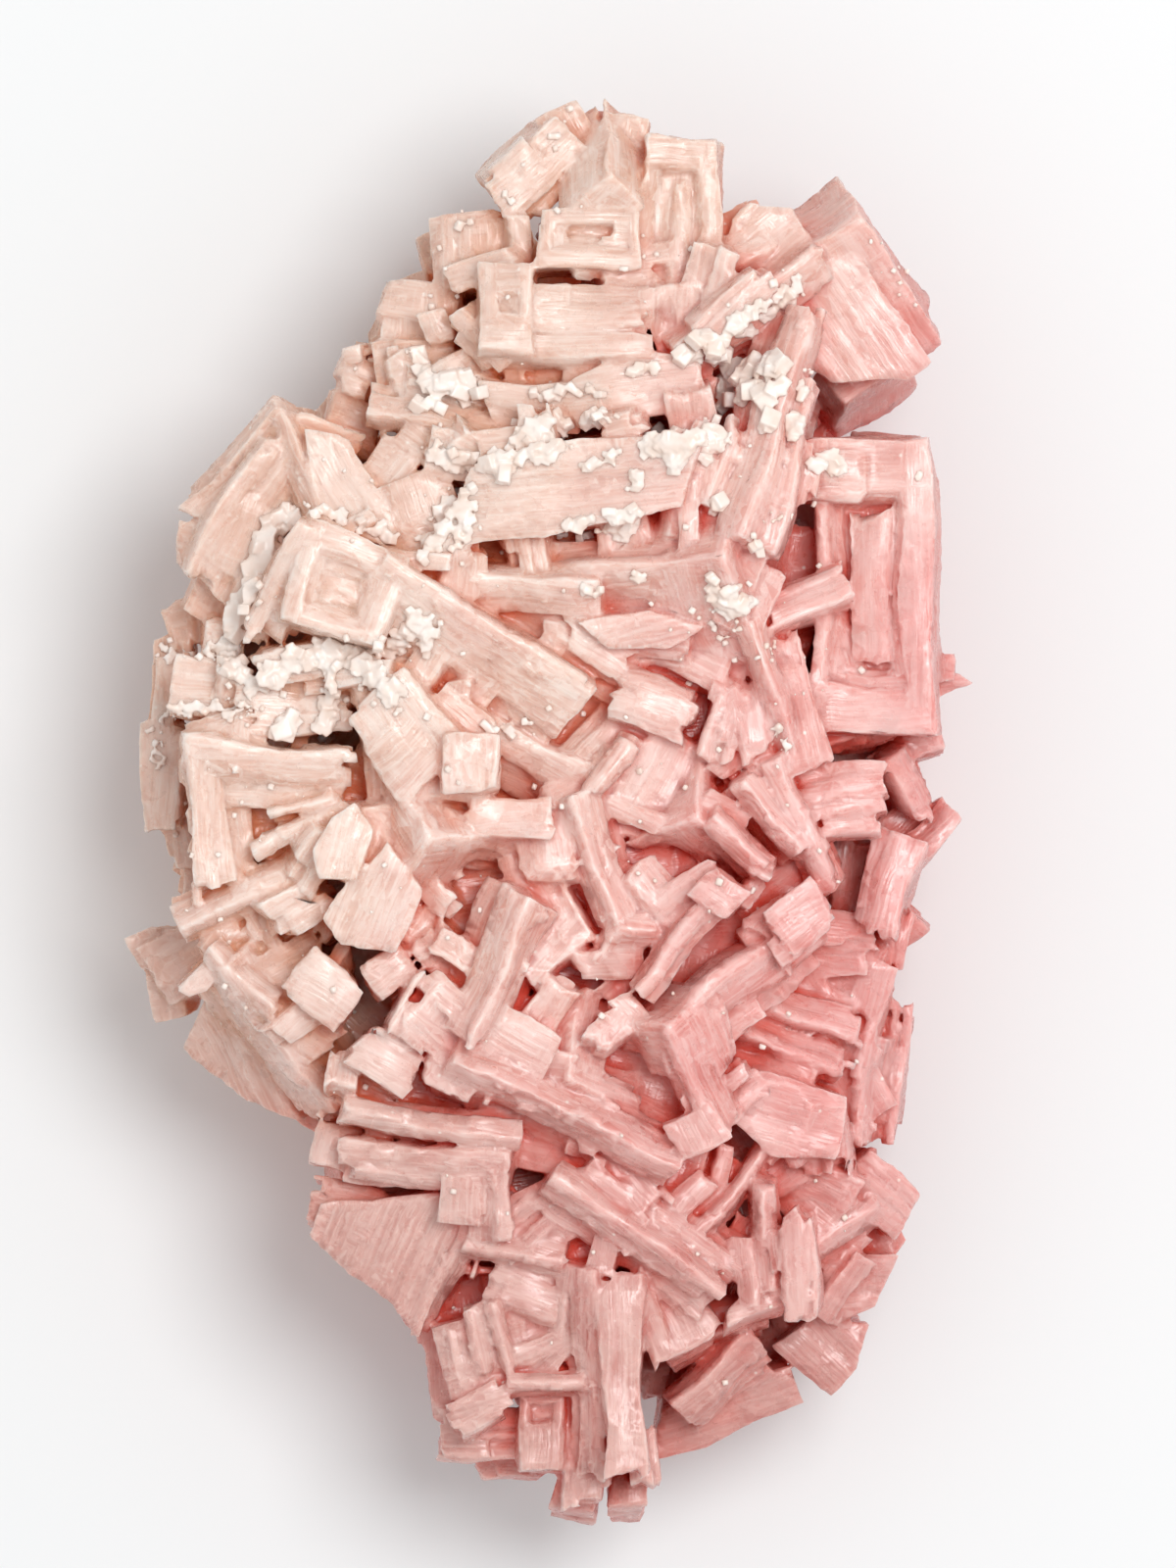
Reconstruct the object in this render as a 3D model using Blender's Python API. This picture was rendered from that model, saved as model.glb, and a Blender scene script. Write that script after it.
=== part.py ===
"""A pink halite specimen: hopper cubes of rock salt grown together into one cluster.

The cluster lies on its cut base. +Y runs along its length, +X across it and +Z up.
Sizes in the tables are millimetres, and angles are degrees. The finished mesh is in metres.

Four forms make every crystal:
- a block is a cube or a bar seen on one face, which may hold a stepped hopper pit;
- a slab is a block whose outline is any convex polygon;
- an arm is one edge of a hopper cube, with terraces stepping down both of its sides;
- a corner is three arms, or one whole cube, below a cube corner that points up.
"""

import math
import random

import bmesh
import bpy
from mathutils import Matrix, Vector

MM = 0.001
ORIGIN = Vector((-0.05, -0.31, 0.0))  # the point of the tables that becomes the frame's origin

# The big cubes that the others grow on: a row down the middle, and a ring round it.
# A row's entry is x, y and the height of its top, then its length and width.
SPINE = (
    (0.0, 40.0, 31.0, 24.0, 24.0), (-2.0, 22.0, 35.0, 30.0, 36.0), (1.0, 0.0, 36.0, 32.0, 38.0),
    (1.0, -22.0, 35.0, 30.0, 34.0), (3.0, -42.0, 29.0, 24.0, 22.0),
)
SPINE_HEIGHT = 40.0
RING_SEED = 5
RING_COUNT = 15
RING_SHARE = 0.69  # of the outline's reach, to the middle of a cube
RING_SIZE = (17.0, 22.0)
RING_TOP = 26.5
RING_HEIGHT = 31.0

# The outline's reach from the origin, at every 15 degrees from +X.
OUTLINE_REACH = (
    37.0, 38.0, 40.0, 46.0, 53.0, 62.0, 69.0, 62.0, 50.0, 40.0, 38.0, 40.0,
    41.0, 42.0, 40.0, 40.0, 46.0, 58.0, 69.0, 66.0, 60.0, 47.0, 40.0, 37.0,
)

# Cubes that close the flanks below the crystals of the top.
FLANK_SEED = 7
FLANK_RINGS = ((9.5, 0.80, 11), (18.5, 0.86, 14))  # height, reach, count
FLANK_SIZE = (8.5, 12.0)

PINK = (0.86, 0.56, 0.54, 1.0)
ROUGHNESS = 0.3

BODY_DEPTH = 10.0  # how far a crystal of the top reaches down into the cluster
FOOT = 0.85  # how much narrower a crystal is at its foot
PLAIN_BODY = 1.5  # how far an arm without terraces reaches into the cluster, in its own widths
SUNK = 0.06  # sets one arm of a corner below the next, so that their faces don't meet in a plane


def turned(heading, pitch, roll):
    """Heading turns about +Z, pitch lifts the far end and roll lifts the left side."""
    turn = Matrix.Rotation(math.radians(heading), 3, "Z")
    turn @= Matrix.Rotation(math.radians(-pitch), 3, "Y")
    turn @= Matrix.Rotation(math.radians(roll), 3, "X")
    return turn


def rectangle(x0, x1, y0, y1, z):
    return [(x0, y0, z), (x1, y0, z), (x1, y1, z), (x0, y1, z)]


def block(at, size, heading=0, pitch=0, roll=0, rims=None, steps=1, tread=0.9, riser=0.9):
    """A cube or a bar. `at` is the middle of its top face. size is its length along the
    heading, its width across it and its height. rims are the widths left round a stepped
    pit: near, far, right and left."""
    length, width, height = size
    x0, x1, y0, y1 = -length / 2, length / 2, -width / 2, width / 2
    rings = [rectangle(x0 * FOOT, x1 * FOOT, y0 * FOOT, y1 * FOOT, -height)]
    rings.append(rectangle(x0, x1, y0, y1, 0.0))
    if rims:
        near, far, right, left = rims
        x0, x1, y0, y1 = x0 + near, x1 - far, y0 + right, y1 - left
        for step in range(steps):
            inset = step * tread
            span = x0 + inset, x1 - inset, y0 + inset, y1 - inset
            rings.append(rectangle(*span, -step * riser))
            rings.append(rectangle(*span, -(step + 1) * riser))
    turn = turned(heading, pitch, roll)
    return [[[Vector(at) + turn @ Vector(point) for point in ring] for ring in rings]]


def slab(outline, height, fall=0.0, facing=0, depth=BODY_DEPTH):
    """A crystal with the plan outline given, whose top falls by `fall` mm a mm towards the
    compass heading `facing`. height is that of its middle."""
    middle = sum((Vector(point) for point in outline), Vector((0, 0))) / len(outline)
    down = Vector((math.cos(math.radians(facing)), math.sin(math.radians(facing))))
    top, bottom = [], []
    for point in outline:
        out = Vector(point) - middle
        z = height - fall * out.dot(down)
        top.append(Vector((*point, z)))
        bottom.append(Vector((*(middle + FOOT * out), z - depth)))
    return [[bottom, top]]


def stepped_section(width, terraces, tread, riser):
    """One edge of a hopper cube, cut across: distances down its two faces from the edge."""
    reach = width + terraces * tread if terraces else width * PLAIN_BODY
    half = [(width, 0.0)]
    for k in range(1, terraces + 1):
        half += [(width + (k - 1) * tread, k * riser), (width + k * tread, k * riser)]
    return [(0.0, 0.0), *half, (reach, reach), *((q, p) for p, q in reversed(half))]


def arm_between(start, along, length, faces, section):
    ring = [start + p * faces[0] + q * faces[1] for p, q in section]
    return [ring, [point + length * along for point in ring]]


def arm(start, end, width, roll=0, terraces=0, tread=1.1, riser=0.8):
    """One hopper edge from start to end. Its two faces slope equally until it rolls. Roll
    turns the right-hand face, seen from the start, up to the sky."""
    start, end = Vector(start), Vector(end)
    along = (end - start).normalized()
    right = along.cross(Vector((0, 0, 1))).normalized()
    down = right.cross(along)
    down = -down if down.z > 0 else down
    tilt = math.radians(45 - roll)
    first = right * math.cos(tilt) + down * math.sin(tilt)
    second = -right * math.sin(tilt) + down * math.cos(tilt)
    section = stepped_section(width, terraces, tread, riser)
    return [arm_between(start, along, (end - start).length, (first, second), section)]


def cube_edges(headings):
    """The edges of a cube corner that points up, from their headings in plan. Each two
    headings are over 90 degrees apart, and then only one tilt makes the edges square."""
    plan = [Vector((math.cos(math.radians(h)), math.sin(math.radians(h)))) for h in headings]
    edges = []
    for i, own in enumerate(plan):
        a, b = plan[i - 1], plan[i - 2]
        dip = math.atan(math.sqrt(-own.dot(a) * own.dot(b) / a.dot(b)))
        edges.append(Vector((own.x * math.cos(dip), own.y * math.cos(dip), -math.sin(dip))))
    return edges


def edge_length(edge, reach, longest):
    """How long an edge is, from its reach in plan."""
    return min(reach / math.hypot(edge.x, edge.y), longest)


def corner(at, headings, reaches, width, terraces=1, tread=1.1, riser=0.8, longest=24.0):
    """Three arms from one cube corner. reaches are their lengths in plan."""
    edges = cube_edges(headings)
    section = stepped_section(width, terraces, tread, riser)
    arms = []
    for i, along in enumerate(edges):
        faces = edges[i - 1], edges[i - 2]
        start = Vector(at) + SUNK * i * (faces[0] + faces[1])
        length = edge_length(along, reaches[i], longest)
        arms.append(arm_between(start, along, length, faces, section))
    return arms


def cube(at, headings, reaches, longest=16.0):
    """A whole cube below its upper corner."""
    edges = cube_edges(headings)
    a, b, c = (edge * edge_length(edge, reach, longest) for edge, reach in zip(edges, reaches))
    top = [Vector(at) + side for side in (Vector((0, 0, 0)), a, a + b, b)]
    return [[top, [point + c for point in top]]]


CROWN = (
    block((1.3, 49.8, 41.0), (17.2, 7.5, 12), heading=-1, roll=-18),
    block((-4.4, 51.0, 41.6), (5.8, 9.6, 10), heading=-1, roll=-16, rims=(1.9, 1.3, 3.6, 3.2)),
    block((3.8, 58.0, 40.0), (10.2, 6.3, 10), roll=-6, rims=(1.2, 0.9, 1.5, 1.1), steps=2),
    block((5.9, 58.2, 39.2), (3.9, 2.0, 4), roll=-6),
    cube((5.9, 63.9, 42.0), (92, 214, 322), (8.8, 6.6, 4.6)),
    block((13.2, 60.4, 38.0), (16.0, 8.2, 12), heading=88, pitch=-3, rims=(1.0, 3.0, 2.2, 0.9)),
    block((13.1, 58.4, 37.8), (10.6, 1.5, 3), heading=88, pitch=-3),
    block((-1.4, 64.8, 36.5), (11.0, 7.0, 12), heading=43, pitch=-4, roll=8),
    block((-8.8, 56.8, 33.5), (7.4, 7.4, 12), heading=3, pitch=8, roll=-6),
    block((1.8, 69.0, 34.0), (4.6, 4.8, 9), heading=30, pitch=-8),
    block((7.4, 68.6, 34.0), (5.0, 4.4, 9), heading=-12),
    block((-13.6, 50.0, 32.5), (7.6, 7.6, 12), heading=-8, pitch=12),
    block((-11.7, 49.2, 36.0), (2.6, 3.4, 4), heading=20, pitch=10),
    block((-9.0, 44.2, 37.5), (4.6, 4.2, 5), heading=35, pitch=-14, roll=10),
    block((-13.6, 44.6, 34.0), (7.6, 6.6, 12), heading=8, pitch=10, roll=-8),
    slab(((8.2, 52.5), (11.0, 45.0), (17.0, 43.5), (17.6, 51.5), (15.5, 53.5)), 39.5, 0.1, 300),
    slab(((1.0, 43.0), (2.5, 38.5), (15.5, 40.5), (15.0, 46.0), (8.0, 46.5)), 41.0, 0.08, 200),
    slab(((-7.4, 43.2), (-5.5, 38.0), (2.6, 38.0), (2.4, 43.4)), 40.0, 0.15, 250),
)

CREST = (
    cube((31.3, 59.7, 38.0), (110, 213, 307), (5.4, 11.5, 15.2), longest=20),
    slab(((20.0, 50.0), (28.5, 43.5), (36.5, 43.6), (38.5, 45.5), (31.5, 55.5), (23.5, 55.0)),
         36.0, 0.1, 300),
    arm((12.0, 47.0, 42.5), (27.6, 57.2, 39.5), 5.0, roll=16),
    arm((10.5, 51.0, 39.5), (24.0, 57.6, 37.5), 4.2, roll=-20, terraces=1),
    slab(((17.7, 57.2), (18.5, 60.0), (20.5, 61.6), (24.5, 61.0), (26.5, 58.0), (22.0, 54.0)),
         36.5, 0.2, 110),
    cube((30.1, 41.2, 31.0), (128, 35, 262), (4.6, 9.0, 3.6)),
    block((18.8, 50.4, 43.6), (9.4, 4.0, 6), heading=42, roll=16),
)

FAN = (
    corner((17.3, 25.4, 49.5), (184, 68, 292), (27, 12.5, 17), 7.6, longest=30, tread=1.5, riser=1.0),
    slab(((-12.5, 26.5), (0.5, 27.5), (13.0, 30.5), (16.0, 38.0), (3.0, 37.5), (-8.5, 34.5)),
         45.8, 0.16, 196),
    arm((-12.6, 24.0, 42.0), (6.0, 22.8, 45.0), 4.4, roll=18),
    arm((-6.0, 20.6, 40.0), (14.0, 18.6, 43.0), 4.2, roll=24),
    arm((19.6, 27.5, 49.0), (26.6, 51.0, 42.5), 4.0, roll=-12, terraces=2, tread=0.8),
    arm((22.6, 25.6, 47.0), (27.2, 43.8, 43.5), 4.2, roll=-30),
    arm((15.6, 31.0, 46.5), (18.4, 39.4, 44.5), 3.6, roll=20),
    arm((20.2, 18.8, 45.0), (25.0, 3.6, 40.5), 3.0),
    block((24.6, 11.2, 40.5), (15.0, 5.2, 10), heading=-76, roll=-6),
    block((26.2, 21.8, 41.5), (8.2, 4.2, 8), heading=24, roll=-18),
    block((20.0, 21.4, 43.6), (7.0, 6.0, 9), heading=66, roll=10),
    slab(((3.2, 18.8), (6.5, 16.2), (12.0, 16.2), (15.0, 18.6), (10.0, 20.4)), 43.5, 0.2, 270),
)

RIGHT = (
    block((32.9, 22.5, 40.5), (30.2, 12.0, 18), heading=91, pitch=3, roll=-3,
          rims=(5.2, 5.4, 3.0, 1.3), steps=3, tread=0.7, riser=0.8),
    block((32.7, 22.6, 39.6), (15.0, 4.0, 4), heading=91, pitch=3, roll=-3),
    block((28.6, 33.8, 41.5), (7.0, 5.0, 8), heading=1, roll=-6),
    block((37.6, 16.6, 33.0), (6.8, 3.2, 9), heading=93, pitch=-4, roll=-10),
    block((39.4, 14.2, 29.5), (3.0, 3.6, 9), heading=85, pitch=-6),
    slab(((36.5, 11.4), (40.0, 10.9), (43.2, 12.4), (40.5, 14.0), (37.0, 14.6)), 28.5, 0.2, 0),
    block((36.8, 7.6, 30.0), (5.8, 4.6, 9), heading=14, roll=-8),
    arm((25.6, 4.6, 38.0), (34.6, 8.6, 34.5), 3.0, roll=-18),
    block((29.6, 1.8, 38.5), (9.6, 5.2, 10), heading=7, pitch=-4, roll=-6),
    block((30.0, -1.7, 38.4), (8.8, 2.0, 6), heading=7, pitch=-4, roll=-14),
    arm((33.8, 4.8, 34.5), (37.2, -0.8, 32.0), 3.0, roll=-10),
    block((37.9, -2.4, 30.0), (8.2, 3.4, 9), heading=44, pitch=-3, roll=-8),
    block((34.3, -7.8, 33.5), (11.6, 4.6, 11), heading=-107, pitch=3, roll=8),
    block((30.6, -7.0, 27.0), (8.0, 3.4, 6), heading=-98),
    block((29.0, -12.4, 31.5), (7.6, 3.4, 9), heading=-8, roll=-8),
    block((35.0, -13.2, 28.0), (6.0, 3.6, 9), heading=-104, pitch=-4),
    arm((26.6, -14.8, 30.5), (34.2, -16.4, 29.0), 2.8, roll=-20),
    block((31.0, -18.2, 29.0), (7.2, 5.6, 9), heading=-18, roll=6),
)

LOWER_RIGHT = (
    arm((34.2, -18.0, 29.0), (31.4, -27.5, 30.0), 2.6, roll=14),
    arm((32.4, -23.6, 30.0), (30.4, -35.0, 28.5), 3.2, roll=-6),
    block((34.3, -27.2, 25.5), (14.8, 4.2, 11), heading=-96, pitch=-3, roll=6),
    arm((19.6, -19.4, 36.5), (31.6, -23.6, 32.0), 3.4, roll=-16, terraces=2, tread=0.8),
    arm((20.0, -23.2, 36.0), (30.4, -27.2, 32.5), 3.4, roll=-14),
    slab(((18.3, -25.8), (30.2, -29.0), (29.4, -35.8), (23.0, -35.6), (19.0, -32.2)), 35.5, 0.1, 300),
    arm((27.0, -30.0, 36.4), (25.4, -37.6, 34.0), 2.6),
    block((28.0, -33.4, 32.5), (8.0, 3.4, 9), heading=-88, roll=8),
    slab(((29.4, -36.6), (32.2, -34.8), (38.2, -39.5), (34.2, -44.2), (30.4, -41.0)), 27.5, 0.12, 330, 12),
    arm((25.8, -46.3, 31.0), (32.8, -40.2, 28.5), 2.6, roll=-10),
    slab(((27.6, -45.6), (34.8, -45.4), (33.0, -51.0), (28.0, -52.6)), 26.0, 0.2, 330, 12),
    arm((27.0, -51.6, 28.0), (31.4, -44.8, 28.0), 2.4, roll=20),
    slab(((22.6, -54.8), (28.0, -60.2), (31.0, -57.4), (32.6, -52.6), (27.2, -51.6)), 24.5, 0.12, 300, 12),
    block((24.9, -46.6, 38.0), (11.2, 3.6, 11), heading=-84, pitch=-3, roll=10),
    arm((21.2, -38.8, 38.0), (21.2, -50.2, 35.0), 2.4, roll=-10),
    arm((12.0, -60.8, 30.5), (21.4, -53.0, 30.0), 3.8, roll=14),
    slab(((10.2, -66.8), (11.0, -61.5), (24.4, -57.0), (25.6, -60.8), (15.5, -65.8)), 23.5, 0.3, 292),
    block((13.4, -52.0, 34.0), (6.6, 5.6, 9), heading=30, pitch=-4, roll=-14),
    block((18.3, -51.3, 31.0), (7.6, 3.8, 9), heading=12, roll=-14),
    arm((14.4, -43.6, 36.5), (23.2, -33.9, 35.0), 1.9, roll=6),
    block((17.0, -37.8, 32.0), (6.4, 4.8, 8), heading=-30),
    block((28.2, -38.8, 30.0), (5.0, 4.2, 6), heading=-25, roll=10),
)

MIDDLE = (
    corner((14.3, -1.3, 43.0), (83, 201, 325), (13.5, 7.0, 10.5), 3.0, tread=0.9),
    arm((16.4, -0.9, 43.6), (23.4, -6.6, 42.0), 2.6, roll=8),
    arm((19.4, 3.0, 43.0), (26.4, -5.0, 41.0), 2.4, terraces=2, tread=0.7),
    arm((22.2, 5.2, 42.5), (29.3, -8.6, 39.5), 2.8, roll=10),
    corner((11.2, -21.8, 46.5), (37.5, 168, 294), (20.5, 7.5, 13.5), 4.6, tread=0.9, longest=26),
    block((26.0, -10.2, 41.5), (5.4, 5.8, 8), heading=37, roll=-8),
    block((14.8, -32.4, 41.5), (4.4, 5.0, 7), heading=-60, roll=6),
    corner((1.9, -27.5, 43.0), (81, 203, 335), (10.5, 2.4, 8.6), 3.0, tread=0.8),
    arm((-1.7, -9.4, 46.5), (-8.4, -24.0, 45.0), 4.9, roll=4, terraces=2, tread=0.9),
    arm((-9.6, -25.4, 44.5), (13.4, -36.6, 42.0), 4.8, roll=-6, terraces=2, tread=0.9),
    block((-3.6, -24.6, 43.4), (8.0, 8.0, 9), heading=-28, roll=4),
    arm((8.4, -17.9, 45.0), (17.6, -8.2, 44.0), 2.2, roll=10),
    block((17.3, -8.8, 44.0), (4.6, 3.8, 6), heading=-35, pitch=-6),
    arm((2.4, 1.4, 43.5), (7.0, -12.4, 42.8), 4.0, roll=-4, terraces=1, tread=0.8),
    arm((6.6, -11.8, 42.6), (12.2, -12.6, 41.5), 2.8),
    arm((6.6, -11.6, 42.4), (4.6, -15.0, 41.0), 2.4),
    arm((0.6, -12.4, 41.0), (4.0, -16.6, 40.0), 1.2),
    block((0.6, -9.6, 40.0), (9.0, 3.6, 8), heading=-62, roll=10),
    block((-0.6, -3.8, 41.0), (6.0, 6.6, 9), heading=8, roll=-10),
    block((11.2, 3.6, 39.0), (9.0, 6.0, 9), heading=62, roll=14),
    arm((4.8, 1.4, 42.5), (8.8, 7.0, 42.0), 2.2, roll=-10),
    block((10.2, 10.0, 42.0), (8.4, 4.6, 8), heading=-18, roll=-6),
    arm((8.0, 13.2, 42.0), (14.5, 10.6, 41.5), 2.2),
    block((17.2, 8.2, 42.0), (5.4, 5.0, 8), heading=80, roll=8),
    block((20.2, 9.0, 41.0), (8.4, 3.4, 8), heading=-80),
    block((15.4, 14.4, 38.0), (8.0, 5.0, 8), heading=-12),
    block((13.2, -10.8, 39.0), (9.4, 4.6, 8), heading=42, roll=12),
    arm((7.6, -13.2, 40.5), (12.4, -10.6, 40.5), 1.8),
    block((16.8, -21.0, 38.0), (8.0, 7.0, 8), heading=38),
    block((19.0, -29.0, 36.5), (5.0, 7.0, 8), heading=-55),
)

LEFT_FACE = (
    arm((-16.4, 26.0, 47.5), (5.2, 12.2, 44.0), 7.2, roll=30, terraces=2, tread=0.9, riser=0.7),
    arm((-25.5, 28.8, 47.2), (-31.8, 18.6, 43.5), 4.6, roll=-34, terraces=2, tread=0.9),
    block((-20.8, 22.6, 46.8), (11.0, 10.4, 12), heading=-18, roll=-6, rims=(2.0, 2.2, 1.4, 2.6), steps=2),
    arm((-9.0, 10.6, 42.0), (6.0, 3.4, 40.0), 3.4, roll=26, terraces=2),
    arm((1.0, 17.8, 42.0), (9.0, 14.4, 41.5), 3.2, roll=20),
    corner((-12.0, -2.9, 47.5), (358, 234, 119), (13.0, 14.0, 13.0), 5.4, longest=24),
    slab(((-24.0, -4.0), (-22.2, -0.3), (-20.2, 1.2), (-18.2, -1.6), (-19.8, -7.2), (-23.4, -7.0)),
         45.0, 0.1, 200),
    slab(((-20.2, -7.0), (-16.8, -3.0), (-13.0, -8.0), (-15.8, -14.4), (-21.8, -14.2), (-23.4, -11.2)),
         43.6, 0.2, 236),
    block((-8.3, 4.4, 46.6), (4.8, 6.0, 7), heading=4, roll=-4),
    block((-14.6, 7.0, 44.8), (11.0, 8.6, 10), heading=-52, pitch=4, roll=8),
    block((-4.0, -0.8, 43.0), (8.0, 4.0, 8), heading=2),
    arm((-37.5, 7.2, 42.0), (-20.0, 5.9, 42.6), 3.4, roll=33, terraces=3, tread=0.8, riser=0.8),
    arm((-37.4, 7.3, 42.0), (-36.2, -8.8, 40.5), 4.2, roll=-33, terraces=3, tread=0.7, riser=0.8),
    block((-27.0, -0.8, 36.5), (8.6, 8.0, 8), heading=-4),
    arm((-30.4, -4.6, 40.5), (-21.0, 1.2, 42.0), 1.9, roll=10),
    arm((-28.2, -0.4, 41.2), (-21.6, 1.8, 41.6), 1.0),
    arm((-38.0, -12.6, 38.5), (-21.4, -5.2, 40.5), 3.6, roll=-16),
    arm((-35.0, -14.8, 36.0), (-22.6, -9.8, 37.5), 2.4, roll=-20),
    block((-26.6, -12.8, 34.5), (9.4, 4.6, 8), heading=27, roll=10),
    block((-26.0, 10.8, 40.0), (13.0, 5.6, 9), heading=-2, roll=-6),
    block((-35.0, 12.4, 37.0), (7.6, 6.4, 9), heading=-6, pitch=8),
    block((-24.0, 15.0, 42.0), (14.0, 3.4, 8), heading=4, roll=4),
)

UPPER_LEFT = (
    block((-30.4, 29.4, 38.0), (16.6, 6.8, 13), heading=56, pitch=4, roll=10),
    arm((-27.3, 40.6, 38.0), (-23.0, 29.6, 42.0), 3.4, roll=10, terraces=2, tread=0.8),
    arm((-27.6, 40.7, 38.0), (-36.2, 30.4, 34.0), 3.0, roll=-8),
    slab(((-25.0, 38.4), (-20.6, 38.0), (-15.0, 28.6), (-17.0, 27.0), (-24.0, 29.0)), 40.5, 0.16, 60),
    slab(((-37.8, 31.0), (-33.0, 34.2), (-30.0, 33.4), (-34.4, 29.6)), 35.5, 0.2, 140, 8),
    block((-35.4, 27.2, 35.0), (5.0, 4.6, 9), heading=-10, pitch=8),
    block((-34.0, 21.8, 33.0), (6.4, 5.0, 9), heading=56, pitch=4),
    block((-37.6, 18.8, 28.0), (4.4, 4.6, 9), heading=14, pitch=8),
    block((-33.4, 17.6, 36.0), (4.6, 4.4, 8), heading=-12),
    block((-29.0, 22.0, 38.0), (10.0, 6.0, 9), heading=58, roll=-10),
    arm((-19.2, 40.6, 38.5), (-3.4, 37.2, 40.5), 3.2, roll=-8),
    block((-13.4, 31.6, 40.5), (6.6, 5.0, 9), heading=20, pitch=6, roll=-8),
    block((-16.4, 35.0, 38.5), (5.0, 4.4, 7), heading=-32, pitch=4),
    block((-9.0, 35.6, 41.0), (8.0, 4.6, 8), heading=-14, roll=6),
)

LEFT_RIM = (
    block((-38.8, 13.6, 28.0), (4.6, 8.0, 10), heading=4, pitch=8),
    block((-39.4, 3.6, 28.0), (4.4, 12.2, 12), heading=-3, pitch=10),
    block((-37.9, -3.0, 25.0), (3.6, 6.4, 9), heading=6, pitch=6),
    slab(((-43.3, -13.6), (-40.8, -12.2), (-36.6, -12.4), (-37.0, -17.0), (-41.2, -16.4)), 26.5, 0.2, 200),
    block((-36.6, -15.4, 27.0), (8.0, 7.0, 12), heading=30, pitch=6),
    slab(((-41.1, -16.4), (-37.0, -16.6), (-37.0, -21.4), (-40.2, -22.4)), 25.0, 0.2, 240, 8),
)

LOWER_LEFT = (
    arm((-32.8, -16.0, 39.5), (-21.6, -31.2, 35.5), 6.0, roll=-8, terraces=2, tread=0.7),
    slab(((-34.6, -18.4), (-31.4, -20.0), (-25.6, -32.0), (-30.6, -30.2), (-37.4, -24.8)),
         28.0, 0.6, 215, 12),
    arm((-34.8, -14.2, 38.5), (-27.4, -20.6, 40.0), 2.4),
    slab(((-38.5, -18.5), (-35.0, -15.5), (-33.0, -16.8), (-35.0, -18.6), (-37.0, -19.3)), 36.5, 0.1, 215, 5),
    block((-23.4, -18.5, 40.5), (7.2, 5.4, 8), heading=-38, roll=4),
    block((-16.8, -25.4, 41.0), (7.0, 5.0, 9), heading=-30, pitch=-4),
    block((-13.0, -20.6, 42.0), (7.0, 5.0, 9), heading=58, roll=6),
    arm((-13.6, -9.6, 39.0), (-6.6, -18.4, 38.0), 3.4, roll=10, terraces=2, tread=0.8),
    block((-16.4, -16.4, 40.5), (4.8, 4.0, 7), heading=35),
    block((-9.4, -26.4, 41.0), (6.0, 4.6, 8), heading=-28),
    block((-19.0, -29.4, 37.0), (6.0, 4.0, 8), heading=-20),
    arm((-21.4, -30.9, 40.0), (-2.4, -33.6, 41.0), 2.4, roll=-6),
    corner((-4.0, -34.8, 40.5), (176, 268, 42), (17.6, 10.0, 2.0), 2.8, tread=0.9, longest=18),
    arm((-19.8, -36.6, 37.5), (-8.4, -38.2, 38.5), 2.2, roll=-10),
    block((-21.8, -34.6, 34.0), (4.6, 4.6, 10), heading=-12, pitch=6),
    block((-21.2, -40.4, 32.0), (7.0, 4.6, 11), heading=-10, pitch=6, roll=-8),
    slab(((-7.6, -41.2), (-13.3, -53.8), (-16.0, -50.4), (-20.6, -47.4), (-24.6, -43.6), (-23.4, -40.4),
          (-12.0, -39.2)), 33.5, 0.2, 230, 12),
    arm((-8.4, -41.8, 36.5), (-14.0, -53.4, 32.5), 3.0, roll=10),
    block((0.0, -41.5, 35.0), (7.0, 6.0, 9), heading=28, roll=-8),
)

FOOT_END = (
    arm((0.4, -37.4, 41.0), (17.6, -49.4, 38.0), 3.2, roll=10, terraces=2, tread=0.8),
    arm((3.0, -37.6, 39.0), (19.8, -48.2, 36.0), 2.2, roll=-24),
    arm((-9.2, -44.4, 37.0), (1.8, -46.8, 37.5), 3.0, roll=-14),
    block((-2.6, -49.0, 34.5), (8.0, 5.0, 9), heading=-20, pitch=4, roll=-6),
    block((-1.6, -53.8, 33.0), (5.0, 4.4, 8), heading=35, roll=-8),
    arm((-8.2, -50.6, 35.5), (-6.4, -58.4, 34.5), 1.3, roll=-6),
    arm((-6.0, -50.2, 36.0), (-3.6, -58.6, 34.8), 1.4, roll=6),
    arm((-9.8, -53.0, 34.5), (-8.8, -59.4, 33.5), 1.2, roll=-10),
    block((-6.8, -55.4, 33.2), (8.6, 7.6, 9), heading=12),
    block((-7.4, -60.8, 34.8), (7.0, 3.4, 6), heading=27, roll=-12),
    block((-7.2, -63.6, 29.0), (9.4, 5.0, 11), heading=-2, roll=-8, pitch=3),
    block((-3.8, -66.6, 25.0), (6.4, 3.8, 9), heading=-4, roll=-10),
    block((-1.2, -63.8, 31.5), (4.2, 7.6, 11), roll=-5, rims=(0.8, 0.8, 4.6, 0.8), tread=0.5),
    arm((-4.6, -58.5, 36.0), (5.2, -58.5, 35.5), 1.6),
    block((3.3, -65.2, 31.0), (3.8, 12.4, 12), roll=-7),
    arm((5.1, -46.9, 38.0), (5.3, -69.0, 33.0), 3.2, roll=26),
    block((7.6, -57.6, 37.5), (4.2, 21.0, 10), roll=-5),
    block((9.4, -66.0, 31.5), (3.2, 6.0, 9), heading=6, roll=-8),
    block((7.9, -69.4, 27.0), (3.8, 4.2, 8), roll=-12),
    block((2.8, -69.6, 27.0), (4.2, 4.4, 8), heading=-8, roll=-12),
    arm((2.4, -46.4, 36.5), (0.6, -56.0, 34.0), 1.7, roll=10),
    block((-11.0, -57.0, 28.0), (3.0, 11.0, 10), heading=4, pitch=8),
)

GROUPS = (
    CROWN, CREST, FAN, RIGHT, LOWER_RIGHT, MIDDLE,
    LEFT_FACE, UPPER_LEFT, LEFT_RIM, LOWER_LEFT, FOOT_END,
)


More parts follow.
